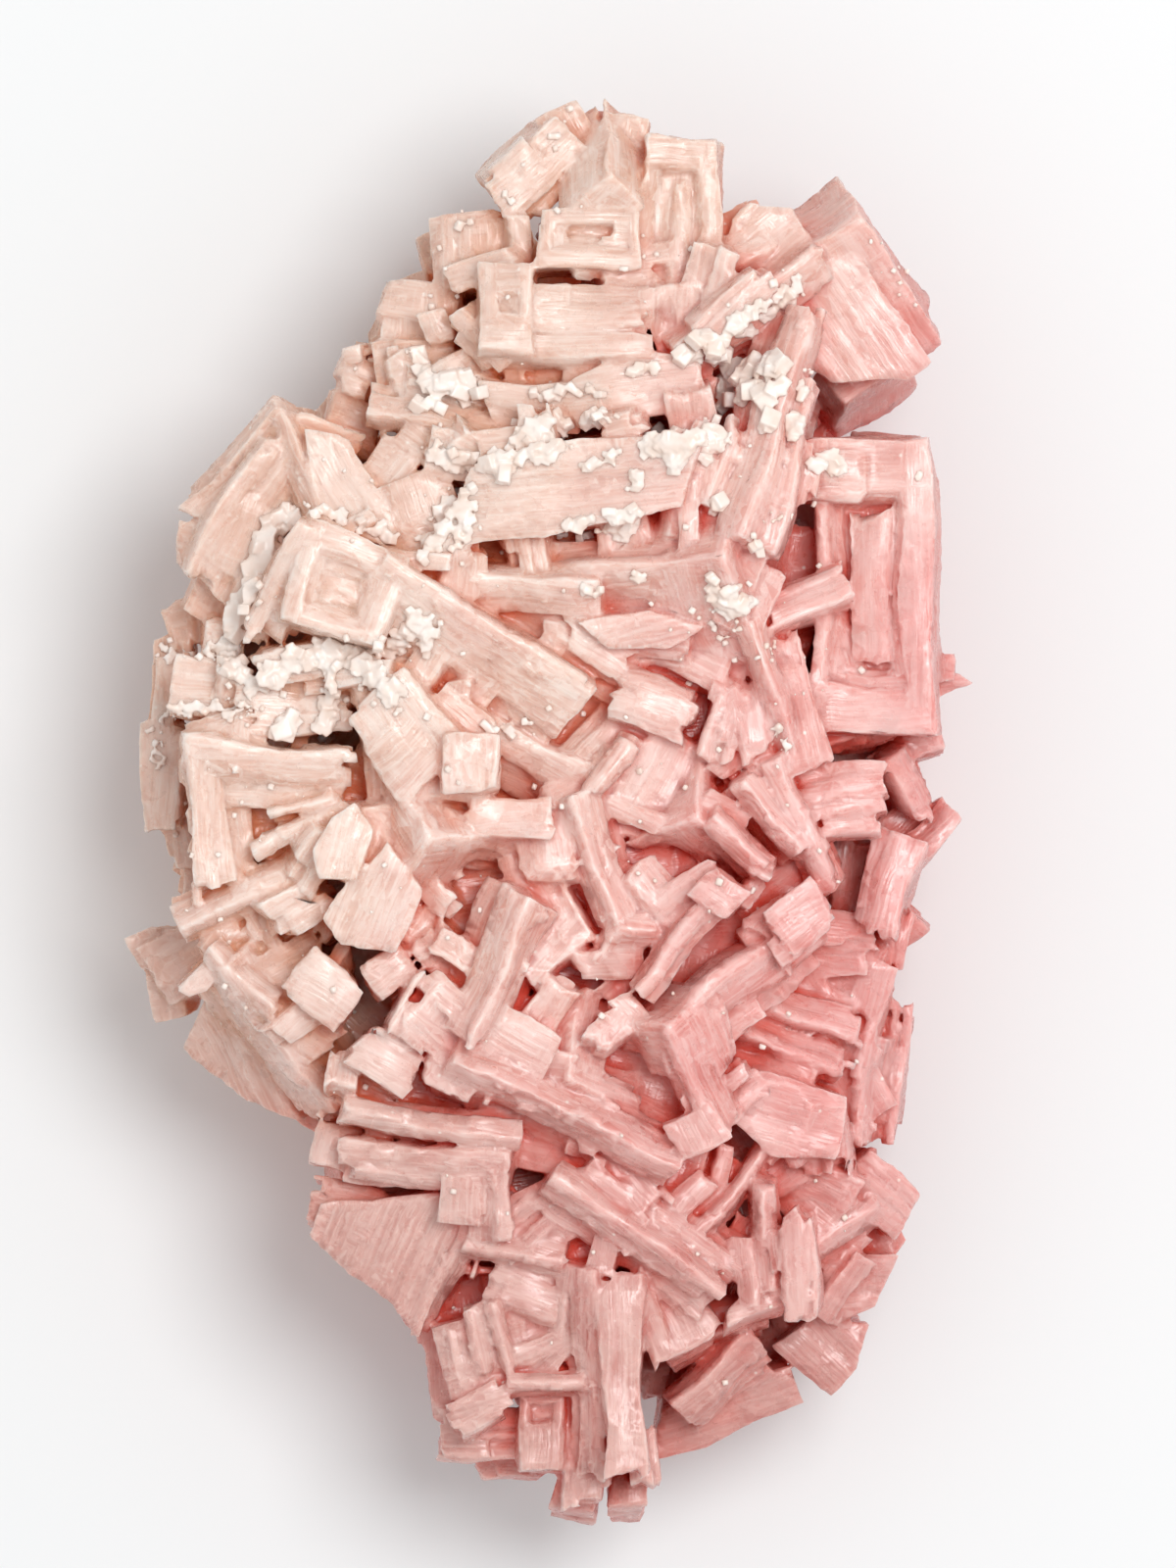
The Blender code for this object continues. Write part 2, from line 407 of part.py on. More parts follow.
def outline_reach(angle):
    """How far the outline lies from the origin at a compass angle."""
    step = 360 / len(OUTLINE_REACH)
    whole, part = divmod((angle % 360) / step, 1)
    here = OUTLINE_REACH[int(whole)]
    there = OUTLINE_REACH[(int(whole) + 1) % len(OUTLINE_REACH)]
    return here + (there - here) * part


def outline_point(angle, share, height):
    reach = outline_reach(angle) * share
    return Vector((reach * math.cos(math.radians(angle)), reach * math.sin(math.radians(angle)), height))


def big_blocks():
    """The cubes of the middle row, then those of the ring, which lean in towards their feet."""
    draw = random.Random(RING_SEED)
    made = []
    for x, y, top, length, width in SPINE:
        size = (length, width, SPINE_HEIGHT)
        made += block((x, y, top), size, 90 + draw.uniform(-14, 14), draw.uniform(-4, 4))
    for i in range(RING_COUNT):
        angle = 360 * (i + draw.uniform(-0.2, 0.2)) / RING_COUNT
        at = outline_point(angle, RING_SHARE, RING_TOP + draw.uniform(-2.5, 2.5))
        size = (draw.uniform(*RING_SIZE), draw.uniform(*RING_SIZE), RING_HEIGHT)
        made += block(at, size, angle + draw.uniform(-25, 25), draw.uniform(-14, -4))
    return made


def ground_rings():
    """The space below the cut base."""
    far = 2 * max(OUTLINE_REACH)
    return [[Vector(point) for point in rectangle(-far, far, -far, far, z)] for z in (-far, 0.0)]


def flank_blocks():
    """Cubes round the flanks, at random tilts, that stay inside the outline."""
    draw = random.Random(FLANK_SEED)
    made = []
    for height, share, count in FLANK_RINGS:
        for i in range(count):
            angle = 360 * (i + draw.uniform(-0.3, 0.3)) / count
            at = outline_point(angle, share, height + draw.uniform(-2.0, 2.0))
            size = draw.uniform(*FLANK_SIZE)
            width = size * draw.uniform(0.6, 1.0)
            heading = angle + draw.uniform(-40, 40)
            pitch, roll = draw.uniform(-50, 0), draw.uniform(-30, 30)
            made += block(at, (size, width, size), heading, pitch, roll)
    return made


def solid_from(name, rings):
    """A closed mesh through the rings, with a face over each end."""
    mesh = bmesh.new()
    loops = [[mesh.verts.new(point) for point in ring] for ring in rings]
    count = len(rings[0])
    for below, above in zip(loops, loops[1:]):
        for i in range(count):
            j = (i + 1) % count
            mesh.faces.new((below[i], below[j], above[j], above[i]))
    mesh.faces.new(loops[0][::-1])
    mesh.faces.new(loops[-1])
    bmesh.ops.recalc_face_normals(mesh, faces=mesh.faces)
    data = bpy.data.meshes.new(name)
    mesh.to_mesh(data)
    mesh.free()
    return bpy.data.objects.new(name, data)


def linked_shell(start, left):
    """The faces that join on to the first one through shared edges, taken out of `left`."""
    shell, front = set(), [start]
    while front:
        face = front.pop()
        shell.add(face)
        near = {other for edge in face.edges for other in edge.link_faces} & left
        left -= near
        front += near
    return shell


def keep_outer_shell(mesh):
    """Deletes the walls of pockets sealed between crystals, and leaves the outside alone."""
    left = set(mesh.faces)
    shells = []
    while left:
        shells.append(linked_shell(left.pop(), left))
    outside = max(shells, key=len)
    inner = [face for shell in shells if shell is not outside for face in shell]
    bmesh.ops.delete(mesh, geom=inner, context="FACES")


def boolean(target, operation, **operand):
    change = target.modifiers.new(operation.lower(), "BOOLEAN")
    change.operation = operation
    for name, value in operand.items():
        setattr(change, name, value)


def joined_cluster(first, crystals, ground):
    """Every crystal joined on to the first as one mesh in millimetres, cut flat at its base."""
    boolean(first, "UNION", operand_type="COLLECTION", collection=crystals)
    boolean(first, "DIFFERENCE", object=ground)
    mesh = bmesh.new()
    mesh.from_object(first, bpy.context.evaluated_depsgraph_get())
    keep_outer_shell(mesh)
    return mesh


def salt_material():
    material = bpy.data.materials.new("pink halite")
    material.use_nodes = True
    shader = material.node_tree.nodes["Principled BSDF"]
    shader.inputs["Base Color"].default_value = PINK
    shader.inputs["Roughness"].default_value = ROUGHNESS
    return material


def main():
    for obj in list(bpy.data.objects):
        bpy.data.objects.remove(obj)
    scene = bpy.context.scene.collection
    crystals = bpy.data.collections.new("crystals")
    scene.children.link(crystals)
    solids = [rings for group in GROUPS for form in group for rings in form]
    solids += flank_blocks() + big_blocks()
    first, *others = (solid_from(f"crystal_{i:03d}", rings) for i, rings in enumerate(solids))
    for crystal in others:
        crystals.objects.link(crystal)
    ground = solid_from("ground", ground_rings())
    scene.objects.link(first)
    scene.objects.link(ground)
    mesh = joined_cluster(first, crystals, ground)
    bmesh.ops.translate(mesh, vec=-ORIGIN, verts=mesh.verts)
    bmesh.ops.scale(mesh, vec=(MM, MM, MM), verts=mesh.verts)
    data = bpy.data.meshes.new("halite_cluster")
    mesh.to_mesh(data)
    mesh.free()
    for obj in (first, ground, *others):
        bpy.data.objects.remove(obj)
    cluster = bpy.data.objects.new("halite_cluster", data)
    scene.objects.link(cluster)
    data.materials.append(salt_material())


main()
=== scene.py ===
"""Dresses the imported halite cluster: every crystal again, with fine growth steps, and white grains.

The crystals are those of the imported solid, from the same tables. Sizes in the tables are
millimetres, and angles are degrees; the scene is in metres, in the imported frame.
"""

import math
import random

import bmesh
import bpy
import numpy
from mathutils import Matrix, Vector
from mathutils.bvhtree import BVHTree


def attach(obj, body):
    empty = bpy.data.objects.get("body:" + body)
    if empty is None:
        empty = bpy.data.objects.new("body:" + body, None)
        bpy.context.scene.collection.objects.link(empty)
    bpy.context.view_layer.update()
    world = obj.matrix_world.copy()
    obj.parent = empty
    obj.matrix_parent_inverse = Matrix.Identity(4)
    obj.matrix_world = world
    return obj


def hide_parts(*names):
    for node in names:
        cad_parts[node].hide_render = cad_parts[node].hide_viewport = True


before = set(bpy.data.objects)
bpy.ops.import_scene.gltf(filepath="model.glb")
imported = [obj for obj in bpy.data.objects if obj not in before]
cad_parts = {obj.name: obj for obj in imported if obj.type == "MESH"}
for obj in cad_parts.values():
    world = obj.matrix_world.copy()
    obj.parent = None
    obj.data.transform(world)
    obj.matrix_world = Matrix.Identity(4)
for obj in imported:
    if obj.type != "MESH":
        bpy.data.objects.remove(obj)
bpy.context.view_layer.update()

MM = 0.001
ORIGIN = Vector((-0.05, -0.31, 0.0))  # the point of the tables that is the frame's origin
ABOVE = 100.0  # higher than anything, to look down from

# The big cubes that the others grow on: a row down the middle, and a ring round it.
# A row's entry is x, y and the height of its top, then its length and width.
SPINE = (
    (0, 40, 31, 24, 24), (-2, 22, 35, 30, 36), (1, 0, 36, 32, 38), (1, -22, 35, 30, 34), (3, -42, 29, 24, 22),
)
SPINE_HEIGHT = 40.0
SPINE_TURN, SPINE_TILT = 14, 4
RING_SEED = 5
RING_COUNT = 15
RING_SHARE = 0.69  # of the outline's reach, to the middle of a cube
RING_SIZE = (17.0, 22.0)
RING_TOP = 26.5
RING_HEIGHT = 31.0

# The outline's reach from the origin, at every 15 degrees from +X.
OUTLINE_REACH = (
    37, 38, 40, 46, 53, 62, 69, 62, 50, 40, 38, 40, 41, 42, 40, 40, 46, 58, 69, 66, 60, 47, 40, 37,
)

# Cubes that close the flanks below the crystals of the top: seed, sizes, then rings of height,
# reach and count. The second set is smaller.
FLANKS = (
    (7, (8.5, 12.0), ((9.5, 0.80, 11), (18.5, 0.86, 14))),
    (21, (3.0, 6.5), ((6.0, 0.80, 46), (13.0, 0.86, 54), (20.0, 0.89, 58))),
)

# Bars between the crystals of the top, except over its deep holes.
FILL_SEED = 11
FILL_LAYERS = (  # spacing, lengths, widths, clear of a hole, below the crystals round it
    (5.0, (6.0, 10.0), (3.0, 5.0), 2.4, (1.6, 3.6)), (3.8, (4.0, 8.0), (1.6, 3.2), 1.3, (1.0, 3.4)),
)
FILL_DEPTH = 9.0
FILL_TILT = 10
FILL_REACH = 0.90  # share of the outline's reach
FILL_ROUND = 4.2  # how far off the crystals are that it grows up to
FILL_GAP = 0.3  # how far it has to stand out of the solid
HOLES = (  # x, y and radius
    (-9, 51, 2), (18.5, 45, 1.5), (9.9, 15.6, 1.5), (26, 24, 3.5), (28, 4.5, 1.5), (30.5, -6.5, 2),
    (24, -16.8, 3.5), (21.5, -22, 2), (19.4, -34.5, 2.5), (12.8, 6, 1.2), (10.8, -6.2, 1), (-3.8, 3.2, 2.5),
    (-6, -10, 3), (-28.3, 15.8, 1.5), (-18.2, 18.5, 2), (-28.5, -2.5, 2.5), (-19.5, -21, 3), (-9, -30, 2.5),
    (-1.2, -36, 1.8), (-6.6, -42.5, 1.5), (-9.2, -52, 2.5), (1.5, -62.5, 1), (11, -58.5, 1.8),
    (20.4, -54.2, 1.8), (7.5, -26, 1.8), (11.2, -31, 1.5), (15.5, -13.5, 2),
)

# White grains: trails as points, then their spread, their number a mm, and their sizes.
GRAIN_SEED = 4
FINE, MEDIUM, COARSE = (0.25, 0.8), (0.5, 1.4), (0.9, 2.3)
GRAIN_TRAILS = (
    (((-27, 30), (-28.5, 28), (-29.3, 26), (-29.8, 22.5), (-31, 20.5), (-33, 17.5)), 0.8, 5, COARSE),
    (((-26, 30.5), (-22, 29.8), (-18, 28), (-15.5, 27.5)), 0.7, 3, MEDIUM),
    (((-33, 17), (-32.5, 14.5), (-30, 13), (-28, 13), (-26, 15.5), (-24, 15)), 1.0, 14, MEDIUM),
    (((-24, 15), (-22, 15.5), (-19, 15), (-17.5, 13), (-16, 11)), 1.1, 20, MEDIUM),
    (((-22, 13), (-22.5, 10), (-23.5, 7.5)), 0.8, 14, MEDIUM),
    (((-18, 16), (-15, 17), (-14, 19.5), (-12.5, 18.5), (-12.5, 16)), 0.8, 13, MEDIUM),
    (((-27.5, 7.5), (-26, 9.5)), 0.5, 9, COARSE),
    (((-40, 15.5), (-36, 16), (-34, 15)), 0.9, 9, FINE),
    (((-40, 9.5), (-35, 10.5), (-33, 9.8), (-30.5, 10.5)), 0.8, 12, FINE),
    (((-40.5, 8), (-40, 4)), 0.8, 6, FINE),
    (((-13.5, 26), (-11, 28), (-10.5, 30), (-9, 31.5), (-8, 30), (-9.5, 27)), 0.9, 9, MEDIUM),
    (((-12.5, 37), (-11, 35.5), (-9, 35.5), (-7, 34.5)), 0.8, 8, MEDIUM),
    (((-6, 35.2), (-5, 34.2), (-4, 35.5)), 0.9, 8, COARSE),
    (((-3.5, 35.5), (-2, 38), (0, 39.5), (0.5, 37), (-2, 36)), 1.2, 12, MEDIUM),
    (((3.5, 38.5), (5, 40), (6.8, 39.8)), 0.6, 7, MEDIUM),
    (((3.5, 34.6), (7.5, 36.2)), 0.6, 4, MEDIUM),
    (((-2, 41.5), (1.5, 43), (4.5, 42.5)), 0.7, 3, MEDIUM),
    (((-13.5, 45.5), (-12, 43), (-9, 44), (-8, 42.3)), 0.8, 4, COARSE),
    (((-13, 41), (-11, 40.6)), 0.6, 4, COARSE),
    (((9.5, 36), (11, 38), (13, 37.5), (12, 35.2)), 0.9, 12, MEDIUM),
    (((12, 35.2), (14, 36.8), (16, 38.5), (17.2, 37.3), (15.5, 35.5)), 0.9, 13, MEDIUM),
    (((9, 32.6), (8.4, 34)), 0.4, 6, MEDIUM),
    (((16.3, 30.6), (17, 30.4)), 0.4, 6, COARSE),
    (((1, 28.6), (4, 28.3), (6, 29), (8.5, 29.4), (7.6, 27.6)), 0.8, 8, MEDIUM),
    (((2.8, 22.6), (5.4, 21.8)), 0.5, 5, MEDIUM),
    (((8.4, 23.6), (9.6, 23.2)), 0.4, 6, MEDIUM),
    (((16.3, 23), (17.2, 21.2), (19.4, 19.8), (18.2, 22)), 0.8, 13, MEDIUM),
    (((17.4, 44), (18, 42), (17.3, 40.6)), 0.5, 9, MEDIUM),
    (((19, 43.5), (20.2, 45.2), (22, 44.4), (23.4, 45.6)), 0.8, 8, COARSE),
    (((19, 41.8), (21.5, 42.4), (23.6, 42.2)), 0.7, 8, COARSE),
    (((16, 47.2), (18, 48.4), (20.5, 50), (22.5, 51), (24.6, 53.8)), 1.2, 7, MEDIUM),
    (((12.8, 45.6), (15, 46.6), (17, 46.2)), 0.9, 7, COARSE),
    (((8.2, 44.3), (11.2, 44.7)), 0.6, 5, MEDIUM),
    (((24.3, 40.2), (25.2, 38.4), (24, 37.4)), 0.5, 6, MEDIUM),
    (((25.2, 41.6), (26.3, 44.8)), 0.4, 4, MEDIUM),
    (((26.3, 34.8), (28, 35.7), (29.6, 35), (28.4, 34)), 0.6, 11, MEDIUM),
    (((37.4, 34), (37.8, 34.6)), 0.3, 6, MEDIUM),
    (((21.6, 38.4), (22.4, 39.6)), 0.3, 4, COARSE),
    (((22, 29.6), (25, 29)), 0.5, 5, FINE),
    (((20.2, 27.2), (20.8, 25.8)), 0.4, 5, MEDIUM),
    (((24, 6), (23, 8.6)), 0.5, 10, FINE),
    (((7.2, 54.8), (7.8, 54.6)), 0.3, 5, FINE),
    (((12, 17), (16.5, 18.6), (21.5, 15.4), (23, 17)), 1.2, 3, FINE),
    (((33, 58), (36, 54), (37.5, 49.5)), 2.4, 2, FINE),
    (((-14, 57), (-3, 64), (1, 70)), 2.2, 1.0, MEDIUM),
    (((-7, 8), (-2, 8.5)), 0.8, 2, MEDIUM),
)
STRAY_GRAINS = 260
STRAY_SIZE = (0.35, 0.85)
GRAIN_SUNK = 0.3
GRAIN_VOXEL = 0.16
GRAIN_TRIANGLES = 120000
GRAIN_LOWEST = 10.0  # grains lie on what is higher, and no steeper than the next value allows
GRAIN_UPRIGHT = 0.25

BODY_DEPTH = 10.0  # how far a crystal of the top reaches down into the cluster
FOOT = 0.85  # how much narrower a crystal is at its foot
PLAIN_BODY = 1.35  # how far an arm without terraces reaches into the cluster, in its own widths
SUNK = 0.06  # sets one arm of a corner below the next

# How the union of the crystals is made into one worn surface.
VOXEL = 0.25  # the finest step of the surface
EVENED = 0.02  # how far flat parts of it are merged
TRIANGLES = 190000
WEAR_SEED = 8
WAVES = 9
WEAR = ((16.0, 0.40), (5.0, 0.12), (1.6, 0.035))  # size of the waves, and how far they move
BASE_HEIGHT = 0.3  # what lies lower is set on the ground
BASE_FADE = 2.0  # over which height the wear grows from there
# The ridge values paint edges lighter and creases darker as painted shade; the sky values paint shade down
# the crevices.
RIDGE_SMOOTHED = 2
SKY_REACH = 9.0
SKY_RINGS = ((90, 0, 1), (50, 20, 5), (22, 56, 3))  # a ring's height, first heading and rays
SKY_START = 0.15  # off the surface
SKY_NEAR = 0.6  # what a ray counts at most when it hits something
FACE_FIELDS = (("along", "vector", 3), ("across", "vector", 3), ("reach", "color", 4), ("tint", "value", 1))

# The fine growth steps.
DETAIL = random.Random(3)
TINT_SEED = 2
PLATE = (0.55, 1.5)  # thickness of a crystal's layers
PLATE_SLIP = 0.16  # how far a layer's edge stands in or out
PLATED_DEPTH = 6.5  # how far down the layers show
STRIA_WIDTH = (0.35, 1.0)
STRIA_STEP = (0.03, 0.2)
STRIA_SUNK = 0.3
STRIP_WIDTH = (0.6, 2.0)  # of a bundle
WIDE_STRIP = (1.2, 3.0)
STRIP_LIFT = 0.32
STRIP_LIFTS = (-0.9, 0.3)  # the least and the most
STRIP_SLIP = 1.3
STRIP_DEPTH = 4.0
CORE_INSET, CORE_TOP = 0.5, -1.0  # the plain core below the strips
SLANT = 0.5  # of a strip's ends
BROKEN_CHANCE = 0.45
BROKEN = (0.10, 0.38)  # share of a side that a broken corner takes
SQUARE = 1.35  # a block that is hardly longer than wide has layers, and no strips
CRUMB = (0.35, 1.1)
CRUMBS_A_MM = 0.5
SKIRTS = (1, 2, 2, 3)  # how many wider, lower layers lie round an edge
SKIRT_DROP = (0.35, 1.0)
SKIRT_REACH = (0.6, 1.5)
END_SLIP = 1.2  # how far the ends of an arm's layers differ
OVERLAP = 0.12
SKEW = 0.07  # how far a layer's corners are out of true
CHIP_CHANCE = 0.3
CHIP = (0.2, 2.0)
CHIP_SHARE = 0.35  # of the way to the middle, at most
PIT_FINER = 3  # steps of a pit for each one in the tables
CUBE_STEPS = 7  # thin steps on each face of a cube


def compass(angle):
    return math.cos(math.radians(angle)), math.sin(math.radians(angle))


def turned(heading, pitch, roll):
    """Heading turns about +Z, pitch lifts the far end and roll lifts the left side."""
    turn = Matrix.Rotation(math.radians(heading), 3, "Z")
    turn @= Matrix.Rotation(math.radians(-pitch), 3, "Y")
    turn @= Matrix.Rotation(math.radians(roll), 3, "X")
    return turn


def skewed(point):
    return point + Vector([DETAIL.uniform(-SKEW, SKEW) for _ in range(3)])


def mid_half(span):
    return (span[0] + span[1]) / 2, (span[1] - span[0]) / 2


def bar(lattice, xs, ys, zs, foot=1.0):
    """A box along the axes of a crystal's lattice, which is its origin and its axes. Its corners
    are a little out of true, and here and there one is chipped."""
    rings = []
    for z, share in ((zs[0], foot), (zs[1], 1.0)):
        (x0, x1), (y0, y1) = [(m - h * share, m + h * share) for m, h in (mid_half(xs), mid_half(ys))]
        rings.append([Vector(point) for point in ((x0, y0, z), (x1, y0, z), (x1, y1, z), (x0, y1, z))])
    middle = Vector((sum(xs), sum(ys), sum(zs))) / 2
    for ring in rings:
        for i, point in enumerate(ring):
            chip = DETAIL.uniform(*CHIP) if DETAIL.random() < CHIP_CHANCE else 0.0
            inward = middle - point
            moved = [math.copysign(min(abs(v) * CHIP_SHARE, chip * DETAIL.random()), v) for v in inward]
            ring[i] = skewed(point + Vector(moved))
    return lattice, rings


def broken(xs, ys):
    """The plan of a block with some of its corners broken off."""
    plan = []
    for i, (x, y) in enumerate(((xs[0], ys[0]), (xs[1], ys[0]), (xs[1], ys[1]), (xs[0], ys[1]))):
        if DETAIL.random() > BROKEN_CHANCE:
            plan.append((x, y))
            continue
        cuts = [DETAIL.uniform(*BROKEN) * (span[1] - span[0]) for span in (xs, ys)]
        on_x = (x + (cuts[0] if x == xs[0] else -cuts[0]), y)
        on_y = (x, y + (cuts[1] if y == ys[0] else -cuts[1]))
        plan += (on_y, on_x) if i in (0, 2) else (on_x, on_y)
    return plan


def prism(lattice, plan, zs, foot=1.0):
    """A solid with the plan given, out of true as `bar` is."""
    x, y = [sum(values) / len(plan) for values in zip(*plan)]
    rings = []
    for z, share in ((zs[0], foot), (zs[1], 1.0)):
        ring = [Vector((x + (px - x) * share, y + (py - y) * share, z)) for px, py in plan]
        rings.append([skewed(point) for point in ring])
    return lattice, rings


def cut(span, least, most):
    """A part of the span, with one or both ends taken off."""
    length = span[1] - span[0]
    ends = [DETAIL.choice((0.0, DETAIL.uniform(least, most))) * length for _ in range(2)]
    return span[0] + ends[0], span[1] - ends[1]


def layers(lattice, xs, ys, top, height):
    """A crystal's body, in layers whose edges don't quite line up."""
    made = []
    z = top
    plan = broken(xs, ys)
    while z > top - min(height, PLATED_DEPTH):
        thick = DETAIL.uniform(*PLATE)
        slip = [DETAIL.uniform(-PLATE_SLIP, PLATE_SLIP) for _ in range(2)]
        moved = [(x + slip[0], y + slip[1]) for x, y in plan]
        made.append(prism(lattice, moved, (z - thick - OVERLAP, z)))
        z -= thick
    if z > top - height:
        made.append(prism(lattice, plan, (top - height, z), FOOT))
    return made


def bundle(lattice, xs, ys, height, width=STRIP_WIDTH):
    """A bar's body as strips that lie side by side along it, of unlike heights and lengths, on
    a plain core."""
    long_x = xs[1] - xs[0] > ys[1] - ys[0]
    along, across = (xs, ys) if long_x else (ys, xs)
    made = []
    at = across[0]
    while at < across[1] - 0.05:
        wide = min(DETAIL.uniform(*width), across[1] - at)
        lift = max(STRIP_LIFTS[0], min(DETAIL.gauss(-0.1, STRIP_LIFT), STRIP_LIFTS[1]))
        strip = at - OVERLAP, at + wide
        reach = [abs(DETAIL.gauss(0, STRIP_SLIP)) * DETAIL.choice((0, 1)) for _ in range(2)]
        span = along[0] + reach[0], along[1] - reach[1]
        slant = [DETAIL.uniform(-SLANT, SLANT) for _ in range(2)]
        plan = [(span[0] + slant[0], strip[0]), (span[1] + slant[1], strip[0]),
                (span[1] - slant[1], strip[1]), (span[0] - slant[0], strip[1])]
        plan = plan if long_x else [(y, x) for x, y in reversed(plan)]
        foot = -min(height, STRIP_DEPTH) + DETAIL.uniform(-0.3, 0.3)
        made.append(prism(lattice, plan, (foot, lift), 0.97))
        at += wide
    core = [(span[0] + CORE_INSET, span[1] - CORE_INSET) for span in (xs, ys)]
    made.append(bar(lattice, *core, (-height, CORE_TOP), FOOT))
    return made


def by_axis(turns, *spans):
    """The spans in the order of the lattice's axes."""
    return [spans[turns.index(axis)] for axis in range(3)]


def crumbs(lattice, length, turns, reach, count):
    """Small broken pieces along a hopper edge and on its two faces."""
    made = []
    for _ in range(count):
        at = DETAIL.uniform(0.02, 0.98) * length
        size = DETAIL.uniform(*CRUMB)
        out = abs(DETAIL.gauss(0, 0.4)) * reach
        face = DETAIL.choice((1, 2))
        along = at, at + size * DETAIL.uniform(0.6, 2.4)
        sunk = -DETAIL.uniform(0.05, 0.25), size
        axes = turns[0], turns[face], turns[3 - face]
        made.append(bar(lattice, *by_axis(axes, along, (out, out + size), sunk)))
    return made


def face_steps(lattice, xs, ys, top, count):
    """Thin steps on a face: strips along its longer side, and part sheets."""
    made = []
    lift = 0.0
    for _ in range(count):
        lift += DETAIL.uniform(*STRIA_STEP)
        sheet = cut(xs, 0.04, 0.5), cut(ys, 0.04, 0.5)
        made.append(bar(lattice, *sheet, (top - STRIA_SUNK, top + lift)))
    long_x = xs[1] - xs[0] > ys[1] - ys[0]
    longer, across = (xs, ys) if long_x else (ys, xs)
    for _ in range(count + 1):
        at = DETAIL.uniform(*across)
        strip = at, min(at + DETAIL.uniform(*STRIA_WIDTH), across[1])
        along = cut(longer, 0.03, 0.35)
        spans = (along, strip) if long_x else (strip, along)
        made.append(bar(lattice, *spans, (top - STRIA_SUNK, top + DETAIL.uniform(*STRIA_STEP) + lift * 0.5)))
    return made


def rim_bars(lattice, outer, inner, low, high):
    """Four bars round a pit."""
    (ox0, ox1, oy0, oy1), (ix0, ix1, iy0, iy1) = outer, inner
    wide, tall = (ox0, ox1), (oy0, oy1)
    spans = (wide, (oy0, iy0)), (wide, (iy1, oy1)), ((ox0, ix0), tall), ((ix1, ox1), tall)
    return [bar(lattice, xs, ys, (low, high + DETAIL.uniform(-0.05, 0.05))) for xs, ys in spans]


def pit(lattice, xs, ys, rims, steps, tread, riser, height):
    """A stepped hopper pit: rims that narrow as they go down, in finer steps than the tables'."""
    near, far, right, left = rims
    inner = [xs[0] + near, xs[1] - far, ys[0] + right, ys[1] - left]
    depth = 0.0
    made = []
    for _ in range(steps * PIT_FINER):
        drop = riser / PIT_FINER * DETAIL.uniform(0.6, 1.5)
        made += rim_bars(lattice, (*xs, *ys), inner, -depth - drop - 2.0, -depth)
        depth += drop
        inset = tread / PIT_FINER
        inner = [at + side * inset * DETAIL.uniform(0.5, 1.6) for at, side in zip(inner, (1, -1, 1, -1))]
    made += layers(lattice, xs, ys, -depth, height - depth)
    return made + face_steps(lattice, inner[:2], inner[2:], -depth, 2)


def placed(at, size, heading, pitch, roll):
    """The lattice and the spans of a block."""
    lattice = Vector(at), turned(heading, pitch, roll)
    return lattice, (-size[0] / 2, size[0] / 2), (-size[1] / 2, size[1] / 2)


def block(at, size, heading=0, pitch=0, roll=0, rims=None, steps=1, tread=0.9, riser=0.9):
    """A cube or a bar. `at` is the middle of its top face. size is its length along the
    heading, its width across it and its height. rims are the widths left round a stepped
    pit: near, far, right and left."""
    length, width, height = size
    lattice, xs, ys = placed(at, size, heading, pitch, roll)
    if rims:
        return pit(lattice, xs, ys, rims, steps, tread, riser, height)
    if max(length, width) < SQUARE * min(length, width):
        return layers(lattice, xs, ys, 0.0, height) + face_steps(lattice, xs, ys, 0.0, 4)
    return bundle(lattice, xs, ys, height) + face_steps(lattice, xs, ys, 0.0, 1)


def plain_block(at, size, heading=0, pitch=0, roll=0):
    """A bar as `block` makes, of few strips."""
    return bundle(*placed(at, size, heading, pitch, roll), size[2], WIDE_STRIP)


def clipped(outline, low, high):
    """The part of a convex outline between two values of its second coordinate."""
    for limit, side in ((low, 1), (high, -1)):
        kept = []
        for a, b in zip(outline, outline[1:] + outline[:1]):
            in_a, in_b = side * (a[1] - limit) >= 0, side * (b[1] - limit) >= 0
            if in_a:
                kept.append(a)
            if in_a != in_b:
                share = (limit - a[1]) / (b[1] - a[1])
                kept.append((a[0] + share * (b[0] - a[0]), limit))
        outline = kept
    return outline


def slab(outline, height, fall=0.0, facing=0, depth=BODY_DEPTH):
    """A crystal with the plan outline given, whose top falls by `fall` mm a mm towards the
    compass heading `facing`. height is that of its middle. Its top is striated."""
    middle = sum((Vector(point) for point in outline), Vector((0, 0))) / len(outline)
    down = Vector(compass(facing))
    edges = [Vector(b) - Vector(a) for a, b in zip(outline, outline[1:] + outline[:1])]
    longest = max(edges, key=lambda edge: edge.length).normalized()
    side = Vector((-longest.y, longest.x))
    along = Vector((*longest, -fall * longest.dot(down))).normalized()
    across = Vector((*side, -fall * side.dot(down)))
    across = (across - along * across.dot(along)).normalized()
    axes = Matrix((along, across, along.cross(across))).transposed()
    lattice = Vector((*middle, height)), axes
    local = []
    for point in outline:
        out = Vector(point) - middle
        local.append((axes.transposed() @ Vector((*out, -fall * out.dot(down))))[:2])
    rows = [y for _, y in local]
    made = []
    y = min(rows)
    while y < max(rows) - 0.1:
        width = DETAIL.uniform(*STRIA_WIDTH) * 1.6
        strip = clipped(local, y - OVERLAP, min(y + width, max(rows)))
        lift = DETAIL.uniform(-1, 1) * STRIA_STEP[1]
        if len(strip) > 2:
            feet = [Vector((x * FOOT, v * FOOT, -depth)) for x, v in strip]
            made.append((lattice, [feet, [Vector((x, v, lift)) for x, v in strip]]))
        y += width
    return made


